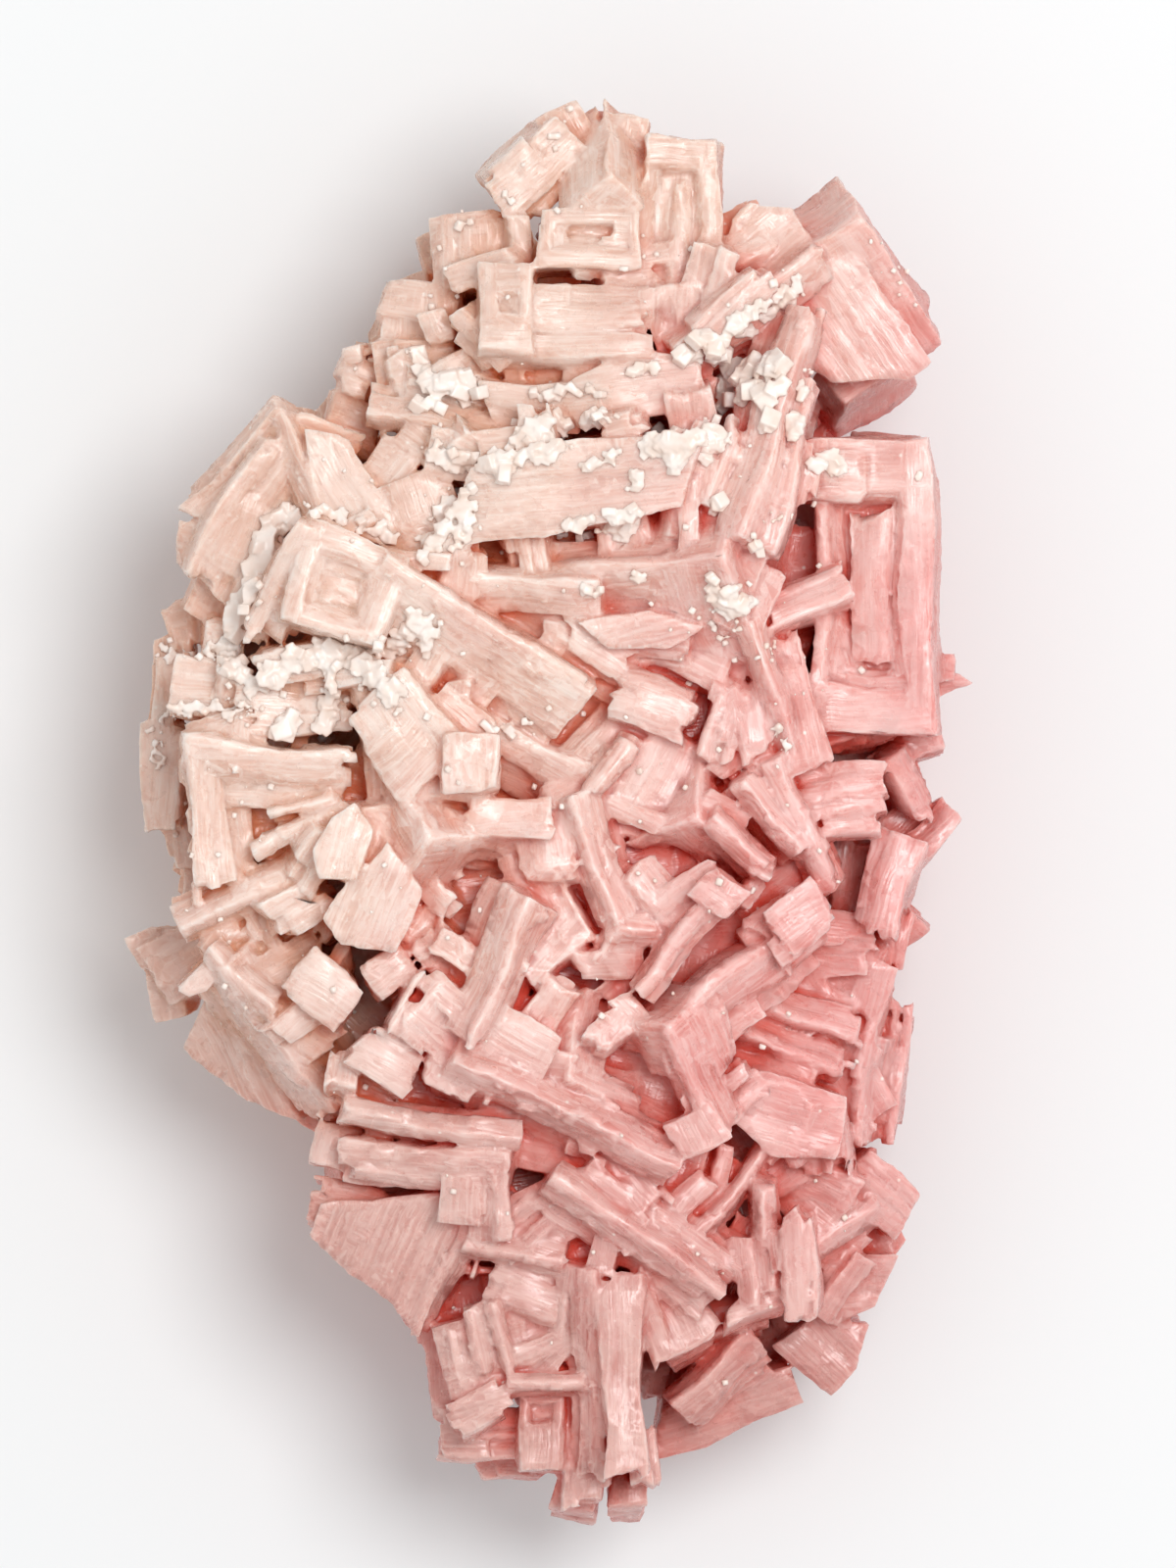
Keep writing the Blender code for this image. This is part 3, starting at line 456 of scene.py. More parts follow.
def stairs(width, terraces, tread, riser):
    """How far each layer of a hopper edge reaches, and how far it lies below the edge."""
    reach = drop = 0.0
    made = []
    while reach < width * 0.96:
        reach = min(reach + DETAIL.uniform(*STRIA_WIDTH) * (2.2 if not made else 1.0), width)
        made.append((reach, drop))
        drop += DETAIL.uniform(*STRIA_STEP)
    for _ in range(terraces):
        for share in (0.4, 0.6):
            drop += riser * share * DETAIL.uniform(0.7, 1.2)
            reach += tread * share * DETAIL.uniform(0.8, 1.2)
            made.append((reach, drop))
    for _ in range(DETAIL.choice(SKIRTS)):
        drop += DETAIL.uniform(*SKIRT_DROP)
        reach += DETAIL.uniform(*SKIRT_REACH)
        made.append((reach, drop))
    return made


def hopper_edge(lattice, start, length, turns, width, terraces, tread, riser):
    """Nested bars along one axis of a lattice. turns are the axes along the edge and down its
    two faces."""
    sides = [stairs(width, terraces, tread, riser) for _ in range(2)]
    count = max(len(side) for side in sides)
    first, second = [side + [side[-1]] * (count - len(side)) for side in sides]
    made = []
    for (reach_a, drop_a), (reach_b, drop_b) in zip(first, second):
        end = length - abs(DETAIL.gauss(0, END_SLIP))
        along = start + DETAIL.uniform(-0.1, 0.15), max(end, 0.5 * length)
        down_a, down_b = (drop_b, max(reach_a, drop_b + 0.3)), (drop_a, max(reach_b, drop_a + 0.3))
        made.append(bar(lattice, *by_axis(turns, along, down_a, down_b)))
    low = 0.4 * width
    body = low, max(width * PLAIN_BODY + terraces * tread, low + 1.0)
    made.append(bar(lattice, *by_axis(turns, (start + 0.3, length * 0.94), body, body)))
    return made + crumbs(lattice, length, turns, width, round(length * CRUMBS_A_MM))


def arm(start, end, width, roll=0, terraces=0, tread=1.1, riser=0.8):
    """One hopper edge from start to end. Its two faces slope equally until it rolls. Roll
    turns the right-hand face, seen from the start, up to the sky."""
    start, end = Vector(start), Vector(end)
    along = (end - start).normalized()
    right = along.cross(Vector((0, 0, 1))).normalized()
    down = right.cross(along)
    down = -down if down.z > 0 else down
    tilt = math.radians(45 - roll)
    first = right * math.cos(tilt) + down * math.sin(tilt)
    second = -right * math.sin(tilt) + down * math.cos(tilt)
    lattice = start, Matrix((along, first, second)).transposed()
    return hopper_edge(lattice, 0.0, (end - start).length, (0, 1, 2), width, terraces, tread, riser)


def cube_edges(headings):
    """The edges of a cube corner that points up, from their headings in plan. Each two
    headings are over 90 degrees apart, and then only one tilt makes the edges square."""
    plan = [Vector(compass(heading)) for heading in headings]
    edges = []
    for i, own in enumerate(plan):
        a, b = plan[i - 1], plan[i - 2]
        dip = math.atan(math.sqrt(-own.dot(a) * own.dot(b) / a.dot(b)))
        edges.append(Vector((own.x * math.cos(dip), own.y * math.cos(dip), -math.sin(dip))))
    return edges


def edge_length(edge, reach, longest):
    """How long an edge is, from its reach in plan."""
    return min(reach / math.hypot(edge.x, edge.y), longest)


def corner(at, headings, reaches, width, terraces=1, tread=1.1, riser=0.8, longest=24.0):
    """Three arms from one cube corner. reaches are their lengths in plan."""
    edges = cube_edges(headings)
    lattice = Vector(at), Matrix(edges).transposed()
    made = []
    for i, along in enumerate(edges):
        length = edge_length(along, reaches[i], longest)
        turns = (i, (i + 2) % 3, (i + 1) % 3)
        made += hopper_edge(lattice, SUNK * i, length, turns, width, terraces, tread, riser)
    return made


def cube(at, headings, reaches, longest=16.0):
    """A whole cube below its upper corner, with thin steps on the faces that show."""
    edges = cube_edges(headings)
    lattice = Vector(at), Matrix(edges).transposed()
    spans = [(0.0, edge_length(edge, reach, longest)) for edge, reach in zip(edges, reaches)]
    made = [bar(lattice, *[(0.15, high) for _, high in spans])]
    for axis in range(3):
        for _ in range(CUBE_STEPS):
            sheet = [cut(span, 0.04, 0.6) for span in spans]
            sheet[axis] = (0.15 - DETAIL.uniform(*STRIA_STEP) * 1.3, 0.6)
            made.append(bar(lattice, *sheet))
    return made


# The crystals of the top, group by group. A block's numbers after its size are its heading,
# pitch and roll; an arm's after its width are its roll, terraces, tread and riser; a slab's
# after its outline are its height, fall, facing and depth.

CROWN = (
    block((1.3, 49.8, 41), (17.2, 7.5, 12), -1, 0, -18),
    block((-4.4, 51, 41.6), (5.8, 9.6, 10), -1, 0, -16, rims=(1.9, 1.3, 3.6, 3.2)),
    block((3.8, 58, 40), (10.2, 6.3, 10), 0, 0, -6, rims=(1.2, 0.9, 1.5, 1.1), steps=2),
    block((5.9, 58.2, 39.2), (3.9, 2, 4), 0, 0, -6),
    cube((5.9, 63.9, 42), (92, 214, 322), (8.8, 6.6, 4.6)),
    block((13.2, 60.4, 38), (16, 8.2, 12), 88, -3, rims=(1, 3, 2.2, 0.9)),
    block((13.1, 58.4, 37.8), (10.6, 1.5, 3), 88, -3),
    block((-1.4, 64.8, 36.5), (11, 7, 12), 43, -4, 8),
    block((-8.8, 56.8, 33.5), (7.4, 7.4, 12), 3, 8, -6),
    block((1.8, 69, 34), (4.6, 4.8, 9), 30, -8),
    block((7.4, 68.6, 34), (5, 4.4, 9), -12),
    block((-13.6, 50, 32.5), (7.6, 7.6, 12), -8, 12),
    block((-11.7, 49.2, 36), (2.6, 3.4, 4), 20, 10),
    block((-9, 44.2, 37.5), (4.6, 4.2, 5), 35, -14, 10),
    block((-13.6, 44.6, 34), (7.6, 6.6, 12), 8, 10, -8),
    slab(((8.2, 52.5), (11, 45), (17, 43.5), (17.6, 51.5), (15.5, 53.5)), 39.5, 0.1, 300),
    slab(((1, 43), (2.5, 38.5), (15.5, 40.5), (15, 46), (8, 46.5)), 41, 0.08, 200),
    slab(((-7.4, 43.2), (-5.5, 38), (2.6, 38), (2.4, 43.4)), 40, 0.15, 250),
)

CREST = (
    cube((31.3, 59.7, 38), (110, 213, 307), (5.4, 11.5, 15.2), longest=20),
    slab(((20, 50), (28.5, 43.5), (36.5, 43.6), (38.5, 45.5), (31.5, 55.5), (23.5, 55)), 36, 0.1, 300),
    arm((12, 47, 42.5), (27.6, 57.2, 39.5), 5, 16),
    arm((10.5, 51, 39.5), (24, 57.6, 37.5), 4.2, -20, 1),
    slab(((17.7, 57.2), (18.5, 60), (20.5, 61.6), (24.5, 61), (26.5, 58), (22, 54)), 36.5, 0.2, 110),
    cube((30.1, 41.2, 31), (128, 35, 262), (4.6, 9, 3.6)),
    block((18.8, 50.4, 43.6), (9.4, 4, 6), 42, 0, 16),
)

FAN = (
    corner((17.3, 25.4, 49.5), (184, 68, 292), (27, 12.5, 17), 7.6, longest=30, tread=1.5, riser=1),
    slab(((-12.5, 26.5), (0.5, 27.5), (13, 30.5), (16, 38), (3, 37.5), (-8.5, 34.5)), 45.8, 0.16, 196),
    arm((-12.6, 24, 42), (6, 22.8, 45), 4.4, 18),
    arm((-6, 20.6, 40), (14, 18.6, 43), 4.2, 24),
    arm((19.6, 27.5, 49), (26.6, 51, 42.5), 4, -12, 2, 0.8),
    arm((22.6, 25.6, 47), (27.2, 43.8, 43.5), 4.2, -30),
    arm((15.6, 31, 46.5), (18.4, 39.4, 44.5), 3.6, 20),
    arm((20.2, 18.8, 45), (25, 3.6, 40.5), 3),
    block((24.6, 11.2, 40.5), (15, 5.2, 10), -76, 0, -6),
    block((26.2, 21.8, 41.5), (8.2, 4.2, 8), 24, 0, -18),
    block((20, 21.4, 43.6), (7, 6, 9), 66, 0, 10),
    slab(((3.2, 18.8), (6.5, 16.2), (12, 16.2), (15, 18.6), (10, 20.4)), 43.5, 0.2, 270),
)

RIGHT = (
    block((32.9, 22.5, 40.5), (30.2, 12, 18), 91, 3, -3, rims=(5.2, 5.4, 3, 1.3), steps=3, tread=0.7,
          riser=0.8),
    block((32.7, 22.6, 39.6), (15, 4, 4), 91, 3, -3),
    block((28.6, 33.8, 41.5), (7, 5, 8), 1, 0, -6),
    block((37.6, 16.6, 33), (6.8, 3.2, 9), 93, -4, -10),
    block((39.4, 14.2, 29.5), (3, 3.6, 9), 85, -6),
    slab(((36.5, 11.4), (40, 10.9), (43.2, 12.4), (40.5, 14), (37, 14.6)), 28.5, 0.2, 0),
    block((36.8, 7.6, 30), (5.8, 4.6, 9), 14, 0, -8),
    arm((25.6, 4.6, 38), (34.6, 8.6, 34.5), 3, -18),
    block((29.6, 1.8, 38.5), (9.6, 5.2, 10), 7, -4, -6),
    block((30, -1.7, 38.4), (8.8, 2, 6), 7, -4, -14),
    arm((33.8, 4.8, 34.5), (37.2, -0.8, 32), 3, -10),
    block((37.9, -2.4, 30), (8.2, 3.4, 9), 44, -3, -8),
    block((34.3, -7.8, 33.5), (11.6, 4.6, 11), -107, 3, 8),
    block((30.6, -7, 27), (8, 3.4, 6), -98),
    block((29, -12.4, 31.5), (7.6, 3.4, 9), -8, 0, -8),
    block((35, -13.2, 28), (6, 3.6, 9), -104, -4),
    arm((26.6, -14.8, 30.5), (34.2, -16.4, 29), 2.8, -20),
    block((24.2, 21.8, 35), (14, 6.4, 9), 78, 0, 6),
    block((23, -8.6, 36), (9, 6.4, 9), 38, 0, -6),
    block((20.6, 43.8, 35.5), (9, 5, 9), 70),
    block((33, -10.4, 27), (6, 6, 9), 12, 0, -8),
    block((34.6, -5, 26), (6, 5, 9), 40),
    block((31, -18.2, 29), (7.2, 5.6, 9), -18, 0, 6),
)

LOWER_RIGHT = (
    arm((34.2, -18, 29), (31.4, -27.5, 30), 2.6, 14),
    arm((32.4, -23.6, 30), (30.4, -35, 28.5), 3.2, -6),
    block((34.3, -27.2, 25.5), (14.8, 4.2, 11), -96, -3, 6),
    arm((19.6, -19.4, 36.5), (31.6, -23.6, 32), 3.4, -16, 2, 0.8),
    arm((20, -23.2, 36), (30.4, -27.2, 32.5), 3.4, -14),
    slab(((18.3, -25.8), (30.2, -29), (29.4, -35.8), (23, -35.6), (19, -32.2)), 35.5, 0.1, 300),
    arm((27, -30, 36.4), (25.4, -37.6, 34), 2.6),
    block((28, -33.4, 32.5), (8, 3.4, 9), -88, 0, 8),
    slab(((29.4, -36.6), (32.2, -34.8), (38.2, -39.5), (34.2, -44.2), (30.4, -41)), 27.5, 0.12, 330, 12),
    arm((25.8, -46.3, 31), (32.8, -40.2, 28.5), 2.6, -10),
    slab(((27.6, -45.6), (34.8, -45.4), (33, -51), (28, -52.6)), 26, 0.2, 330, 12),
    arm((27, -51.6, 28), (31.4, -44.8, 28), 2.4, 20),
    slab(((22.6, -54.8), (28, -60.2), (31, -57.4), (32.6, -52.6), (27.2, -51.6)), 24.5, 0.12, 300, 12),
    block((24.9, -46.6, 38), (11.2, 3.6, 11), -84, -3, 10),
    arm((21.2, -38.8, 38), (21.2, -50.2, 35), 2.4, -10),
    arm((12, -60.8, 30.5), (21.4, -53, 30), 3.8, 14),
    slab(((10.2, -66.8), (11, -61.5), (24.4, -57), (25.6, -60.8), (15.5, -65.8)), 23.5, 0.3, 292),
    block((13.4, -52, 34), (6.6, 5.6, 9), 30, -4, -14),
    block((18.3, -51.3, 31), (7.6, 3.8, 9), 12, 0, -14),
    arm((14.4, -43.6, 36.5), (23.2, -33.9, 35), 1.9, 6),
    block((17, -37.8, 32), (6.4, 4.8, 8), -30),
    block((28.2, -38.8, 30), (5, 4.2, 6), -25, 0, 10),
)

MIDDLE = (
    corner((14.3, -1.3, 43), (83, 201, 325), (13.5, 7, 10.5), 3, tread=0.9),
    arm((16.4, -0.9, 43.6), (23.4, -6.6, 42), 2.6, 8),
    arm((19.4, 3, 43), (26.4, -5, 41), 2.4, 0, 2, 0.7),
    arm((22.2, 5.2, 42.5), (29.3, -8.6, 39.5), 2.8, 10),
    corner((11.2, -21.8, 46.5), (37.5, 168, 294), (20.5, 7.5, 13.5), 4.6, tread=0.9, longest=26),
    block((24.8, -11.2, 41.2), (8.4, 5.4, 8), 37, 0, -4),
    block((14.8, -32.4, 41.5), (4.4, 5, 7), -60, 0, 6),
    corner((1.9, -27.5, 43), (81, 203, 335), (10.5, 2.4, 8.6), 3, tread=0.8),
    arm((-1.7, -9.4, 46.5), (-8.4, -24, 45), 4.9, 4, 2, 0.9),
    arm((-9.6, -25.4, 44.5), (13.4, -36.6, 42), 4.8, -6, 2, 0.9),
    block((-3.6, -24.6, 42.2), (7.4, 6.4, 9), -28, 0, 4),
    arm((8.4, -17.9, 45), (17.6, -8.2, 44), 2.2, 10),
    block((17.3, -8.8, 44), (4.6, 3.8, 6), -35, -6),
    arm((2.4, 1.4, 43.5), (7, -12.4, 42.8), 4, -4, 1, 0.8),
    arm((6.6, -11.8, 42.6), (12.2, -12.6, 41.5), 2.8),
    arm((6.6, -11.6, 42.4), (4.6, -15, 41), 2.4),
    arm((0.6, -12.4, 41), (4, -16.6, 40), 1.2),
    block((0.6, -9.6, 40), (9, 3.6, 8), -62, 0, 10),
    block((-0.6, -3.8, 41), (6, 6.6, 9), 8, 0, -10),
    block((11.2, 3.6, 39), (9, 6, 9), 62, 0, 14),
    arm((4.8, 1.4, 42.5), (8.8, 7, 42), 2.2, -10),
    block((10.2, 10, 42), (8.4, 4.6, 8), -18, 0, -6),
    arm((8, 13.2, 42), (14.5, 10.6, 41.5), 2.2),
    block((17.2, 8.6, 41), (7.4, 3.4, 8), 76, 0, 8),
    block((20.2, 9, 41), (8.4, 3.4, 8), -80),
    block((15.4, 14.4, 38), (8, 5, 8), -12),
    block((13.2, -10.8, 39), (9.4, 4.6, 8), 42, 0, 12),
    arm((7.6, -13.2, 40.5), (12.4, -10.6, 40.5), 1.8),
    block((16.8, -21, 38), (8, 7, 8), 38),
    block((19, -29, 36.5), (5, 7, 8), -55),
)

LEFT_FACE = (
    arm((-16.4, 26, 47.5), (5.2, 12.2, 44), 7.2, 30, 2, 0.9, 0.7),
    arm((-25.5, 28.8, 47.2), (-31.8, 18.6, 43.5), 4.6, -34, 2, 0.9),
    block((-20.8, 22.6, 46.8), (11, 10.4, 12), -18, 0, -6, rims=(2, 2.2, 1.4, 2.6), steps=2),
    arm((-9, 10.6, 42), (6, 3.4, 40), 3.4, 26, 2),
    arm((1, 17.8, 42), (9, 14.4, 41.5), 3.2, 20),
    corner((-12, -2.9, 47.5), (358, 234, 119), (13, 14, 13), 5.4, longest=24),
    slab(((-24, -4), (-22.2, -0.3), (-20.2, 1.2), (-18.2, -1.6), (-19.8, -7.2), (-23.4, -7)), 45, 0.1, 200),
    slab(((-20.2, -7), (-16.8, -3), (-13, -8), (-15.8, -14.4), (-21.8, -14.2), (-23.4, -11.2)), 43.6, 0.2,
         236),
    block((-8.3, 4.4, 46.6), (4.8, 6, 7), 4, 0, -4),
    block((-14.6, 7, 44.8), (11, 8.6, 10), -52, 4, 8),
    block((-4, -0.8, 43), (8, 4, 8), 2),
    arm((-37.5, 7.2, 42), (-20, 5.9, 42.6), 3.4, 33, 3, 0.8, 0.8),
    arm((-37.4, 7.3, 42), (-36.2, -8.8, 40.5), 4.2, -33, 3, 0.7, 0.8),
    block((-27, -0.8, 36.5), (8.6, 8, 8), -4),
    arm((-30.4, -4.6, 40.5), (-21, 1.2, 42), 1.9, 10),
    arm((-28.2, -0.4, 41.2), (-21.6, 1.8, 41.6), 1),
    arm((-38, -12.6, 38.5), (-21.4, -5.2, 40.5), 3.6, -16),
    arm((-35, -14.8, 36), (-22.6, -9.8, 37.5), 2.4, -20),
    block((-26.6, -12.8, 34.5), (9.4, 4.6, 8), 27, 0, 10),
    block((-26, 10.8, 40), (13, 5.6, 9), -2, 0, -6),
    block((-35, 12.4, 37), (7.6, 6.4, 9), -6, 8),
    block((-24, 15, 42), (14, 3.4, 8), 4, 0, 4),
)

UPPER_LEFT = (
    block((-30.4, 29.4, 38), (16.6, 6.8, 13), 56, 4, 10),
    arm((-27.3, 40.6, 38), (-23, 29.6, 42), 3.4, 10, 2, 0.8),
    arm((-27.6, 40.7, 38), (-36.2, 30.4, 34), 3, -8),
    slab(((-25, 38.4), (-20.6, 38), (-15, 28.6), (-17, 27), (-24, 29)), 40.5, 0.16, 60),
    slab(((-37.8, 31), (-33, 34.2), (-30, 33.4), (-34.4, 29.6)), 35.5, 0.2, 140, 8),
    block((-35.4, 27.2, 35), (5, 4.6, 9), -10, 8),
    block((-34, 21.8, 33), (6.4, 5, 9), 56, 4),
    block((-37.6, 18.8, 28), (4.4, 4.6, 9), 14, 8),
    block((-33.4, 17.6, 36), (4.6, 4.4, 8), -12),
    block((-29, 22, 38), (10, 6, 9), 58, 0, -10),
    arm((-19.2, 40.6, 38.5), (-3.4, 37.2, 40.5), 3.2, -8),
    block((-13.4, 31.6, 40.5), (6.6, 5, 9), 20, 6, -8),
    block((-16.4, 35, 38.5), (5, 4.4, 7), -32, 4),
    block((-9, 35.6, 41), (8, 4.6, 8), -14, 0, 6),
    block((-20.6, 39, 31), (6, 5.4, 9), -20),
    block((-19.4, 2.6, 38), (10, 5.6, 9), -4, 0, 4),
    block((-10, 42.4, 37.5), (9, 4, 8), -8),
)

LEFT_RIM = (
    block((-38.8, 13.6, 28), (4.6, 8, 10), 4, 8),
    block((-39.4, 3.6, 28), (4.4, 12.2, 12), -3, 10),
    block((-37.9, -3, 25), (3.6, 6.4, 9), 6, 6),
    slab(((-43.3, -13.6), (-40.8, -12.2), (-36.6, -12.4), (-37, -17), (-41.2, -16.4)), 26.5, 0.2, 200),
    block((-36.6, -15.4, 27), (8, 7, 12), 30, 6),
    slab(((-41.1, -16.4), (-37, -16.6), (-37, -21.4), (-40.2, -22.4)), 25, 0.2, 240, 8),
)

LOWER_LEFT = (
    arm((-32.8, -16, 39.5), (-21.6, -31.2, 35.5), 6, -8, 2, 0.7),
    slab(((-34.6, -18.4), (-31.4, -20), (-25.6, -32), (-30.6, -30.2), (-37.4, -24.8)), 28, 0.6, 215, 12),
    arm((-34.8, -14.2, 38.5), (-27.4, -20.6, 40), 2.4),
    slab(((-38.5, -18.5), (-35, -15.5), (-33, -16.8), (-35, -18.6), (-37, -19.3)), 36.5, 0.1, 215, 5),
    block((-23.4, -18.5, 40.5), (7.2, 5.4, 8), -38, 0, 4),
    block((-16.8, -25.4, 41), (7, 5, 9), -30, -4),
    block((-13, -20.6, 42), (7, 5, 9), 58, 0, 6),
    arm((-13.6, -9.6, 39), (-6.6, -18.4, 38), 3.4, 10, 2, 0.8),
    block((-16.4, -16.4, 40.5), (4.8, 4, 7), 35),
    block((-9.4, -26.4, 41), (6, 4.6, 8), -28),
    block((-19, -29.4, 37), (6, 4, 8), -20),
    arm((-21.4, -30.9, 40), (-2.4, -33.6, 41), 2.4, -6),
    corner((-4, -34.8, 40.5), (176, 268, 42), (17.6, 10, 2), 2.8, tread=0.9, longest=18),
    arm((-19.8, -36.6, 37.5), (-8.4, -38.2, 38.5), 2.2, -10),
    block((-21.8, -34.6, 34), (4.6, 4.6, 10), -12, 6),
    block((-21.2, -40.4, 32), (7, 4.6, 11), -10, 6, -8),
    slab(((-7.6, -41.2), (-13.3, -53.8), (-16, -50.4), (-20.6, -47.4), (-24.6, -43.6), (-23.4, -40.4),
         (-12, -39.2)), 33.5, 0.2, 230, 12),
    arm((-8.4, -41.8, 36.5), (-14, -53.4, 32.5), 3, 10),
    block((0, -41.5, 35), (7, 6, 9), 28, 0, -8),
)

FOOT_END = (
    arm((0.4, -37.4, 41), (17.6, -49.4, 38), 3.2, 10, 2, 0.8),
    arm((3, -37.6, 39), (19.8, -48.2, 36), 2.2, -24),
    arm((-9.2, -44.4, 37), (1.8, -46.8, 37.5), 3, -14),
    block((-2.6, -49, 34.5), (8, 5, 9), -20, 4, -6),
    block((-1.6, -53.8, 33), (5, 4.4, 8), 35, 0, -8),
    arm((-8.2, -50.6, 35.5), (-6.4, -58.4, 34.5), 1.3, -6),
    arm((-6, -50.2, 36), (-3.6, -58.6, 34.8), 1.4, 6),
    arm((-9.8, -53, 34.5), (-8.8, -59.4, 33.5), 1.2, -10),
    block((-6.8, -55.4, 33.2), (8.6, 7.6, 9), 12),
    block((-7.4, -60.8, 34.8), (7, 3.4, 6), 27, 0, -12),
    block((-7.2, -63.6, 29), (9.4, 5, 11), -2, 3, -8),
    block((-3.8, -66.6, 25), (6.4, 3.8, 9), -4, 0, -10),
    block((-1.2, -63.8, 31.5), (4.2, 7.6, 11), 0, 0, -5, rims=(0.8, 0.8, 4.6, 0.8), tread=0.5),
    arm((-4.6, -58.5, 36), (5.2, -58.5, 35.5), 1.6),
    block((3.3, -65.2, 31), (3.8, 12.4, 12), 0, 0, -7),
    arm((5.1, -46.9, 38), (5.3, -69, 33), 3.2, 26),
    block((7.6, -57.6, 37.5), (4.2, 21, 10), 0, 0, -5),
    block((9.4, -66, 31.5), (3.2, 6, 9), 6, 0, -8),
    block((7.9, -69.4, 27), (3.8, 4.2, 8), 0, 0, -12),
    block((2.8, -69.6, 27), (4.2, 4.4, 8), -8, 0, -12),
    arm((2.4, -46.4, 36.5), (0.6, -56, 34), 1.7, 10),
    block((-11, -57, 28), (3, 11, 10), 4, 8),
)

# Crystals low down, where the floor would show through the gaps between those above.
UNDERLAY = (
    block((36.2, -1.4, 28), (7, 5, 9), 44, 0, -8),
    block((26.3, -39.4, 29.5), (8, 6, 9), -40),
    block((23, -37.4, 31), (6, 5, 8), 30),
    block((33, -43.6, 22), (6, 5, 9), -50),
    block((1.6, -44.6, 33), (6, 5, 9), 20),
    block((22.4, -54, 18), (6, 6, 9), 12),
)

GROUPS = (
    CROWN, CREST, FAN, RIGHT, LOWER_RIGHT, MIDDLE,
    LEFT_FACE, UPPER_LEFT, LEFT_RIM, LOWER_LEFT, FOOT_END, UNDERLAY,
)


def outline_reach(angle):
    """How far the outline lies from the origin at a compass angle."""
    step = 360 / len(OUTLINE_REACH)
    whole, part = divmod((angle % 360) / step, 1)
    here = OUTLINE_REACH[int(whole)]
    there = OUTLINE_REACH[(int(whole) + 1) % len(OUTLINE_REACH)]
    return here + (there - here) * part


def outline_point(angle, share, height):
    reach = outline_reach(angle) * share
    x, y = compass(angle)
    return Vector((reach * x, reach * y, height))


def big_blocks():
    """The cubes of the middle row, then those of the ring, which lean in towards their feet."""
    draw = random.Random(RING_SEED)
    made = []
    for x, y, top, length, width in SPINE:
        turn = 90 + draw.uniform(-SPINE_TURN, SPINE_TURN), draw.uniform(-SPINE_TILT, SPINE_TILT)
        made.append(block((x, y, top), (length, width, SPINE_HEIGHT), *turn))
    for i in range(RING_COUNT):
        angle = 360 * (i + draw.uniform(-0.2, 0.2)) / RING_COUNT
        at = outline_point(angle, RING_SHARE, RING_TOP + draw.uniform(-2.5, 2.5))
        size = (draw.uniform(*RING_SIZE), draw.uniform(*RING_SIZE), RING_HEIGHT)
        made.append(block(at, size, angle + draw.uniform(-25, 25), draw.uniform(-14, -4)))
    return made


def flank_blocks(seed, sizes, rings):
    """Cubes round the flanks, at random tilts, that stay inside the outline."""
    draw = random.Random(seed)
    made = []
    for height, share, count in rings:
        for i in range(count):
            angle = 360 * (i + draw.uniform(-0.3, 0.3)) / count
            at = outline_point(angle, share, height + draw.uniform(-2.0, 2.0))
            size = draw.uniform(*sizes)
            width = size * draw.uniform(0.6, 1.0)
            turn = angle + draw.uniform(-40, 40), draw.uniform(-50, 0), draw.uniform(-30, 30)
            made.append(plain_block(at, (size, width, size), *turn))
    return made


def over_a_hole(x, y, clearance):
    return any(math.hypot(x - hx, y - hy) < radius + clearance for hx, hy, radius in HOLES)


def tree_of(data):
    """The faces of a mesh, in the tables' millimetres, to cast rays on."""
    mesh = bmesh.new()
    mesh.from_mesh(data)
    bmesh.ops.scale(mesh, vec=(1 / MM, 1 / MM, 1 / MM), verts=mesh.verts)
    bmesh.ops.translate(mesh, vec=ORIGIN, verts=mesh.verts)
    tree = BVHTree.FromBMesh(mesh)
    mesh.free()
    return tree


def seen_from_above(tree, x, y):
    return tree.ray_cast(Vector((x, y, ABOVE)), Vector((0, 0, -1)))[:2]


def top_at(tree, x, y):
    point, _ = seen_from_above(tree, x, y)
    return point.z if point else 0.0


def heading_near(x, y):
    """The compass heading of the crystal of the tables that lies nearest."""
    lattices = [form[0][0] for group in GROUPS for form in group]
    _, axes = min(lattices, key=lambda lattice: math.hypot(lattice[0].x - x, lattice[0].y - y))
    flattest = min(axes.transposed(), key=lambda axis: abs(axis.z))
    return math.degrees(math.atan2(flattest.y, flattest.x))


def fill_blocks(tree):
    """Bars that close the gaps between the crystals, along the nearest crystal's edges."""
    draw = random.Random(FILL_SEED)
    made = []
    for spacing, lengths, widths, clearance, below in FILL_LAYERS:
        columns, rows = round(OUTLINE_REACH[0] / spacing), round(max(OUTLINE_REACH) / spacing)
        cells = [(column, row) for column in range(-columns, columns + 1) for row in range(-rows, rows + 1)]
        for column, row in cells:
            x = (column + draw.uniform(-0.45, 0.45)) * spacing
            y = (row + draw.uniform(-0.45, 0.45)) * spacing
            share = math.hypot(x, y) / outline_reach(math.degrees(math.atan2(y, x)))
            near = [(x + FILL_ROUND * math.cos(a), y + FILL_ROUND * math.sin(a)) for a in range(7)]
            third_highest = sorted(top_at(tree, *place) for place in near)[-3]
            height = third_highest - draw.uniform(*below)
            size = [draw.uniform(*lengths), draw.uniform(*widths), FILL_DEPTH]
            heading = heading_near(x, y) + draw.choice((0, 90)) + draw.gauss(0, FILL_TILT)
            pitch, roll = draw.gauss(0, FILL_TILT), draw.gauss(0, FILL_TILT)
            gap = top_at(tree, x, y) < height - FILL_GAP
            if gap and share < FILL_REACH and not over_a_hole(x, y, clearance):
                made.append(plain_block((x, y, height), size, heading, pitch, roll))
    return made


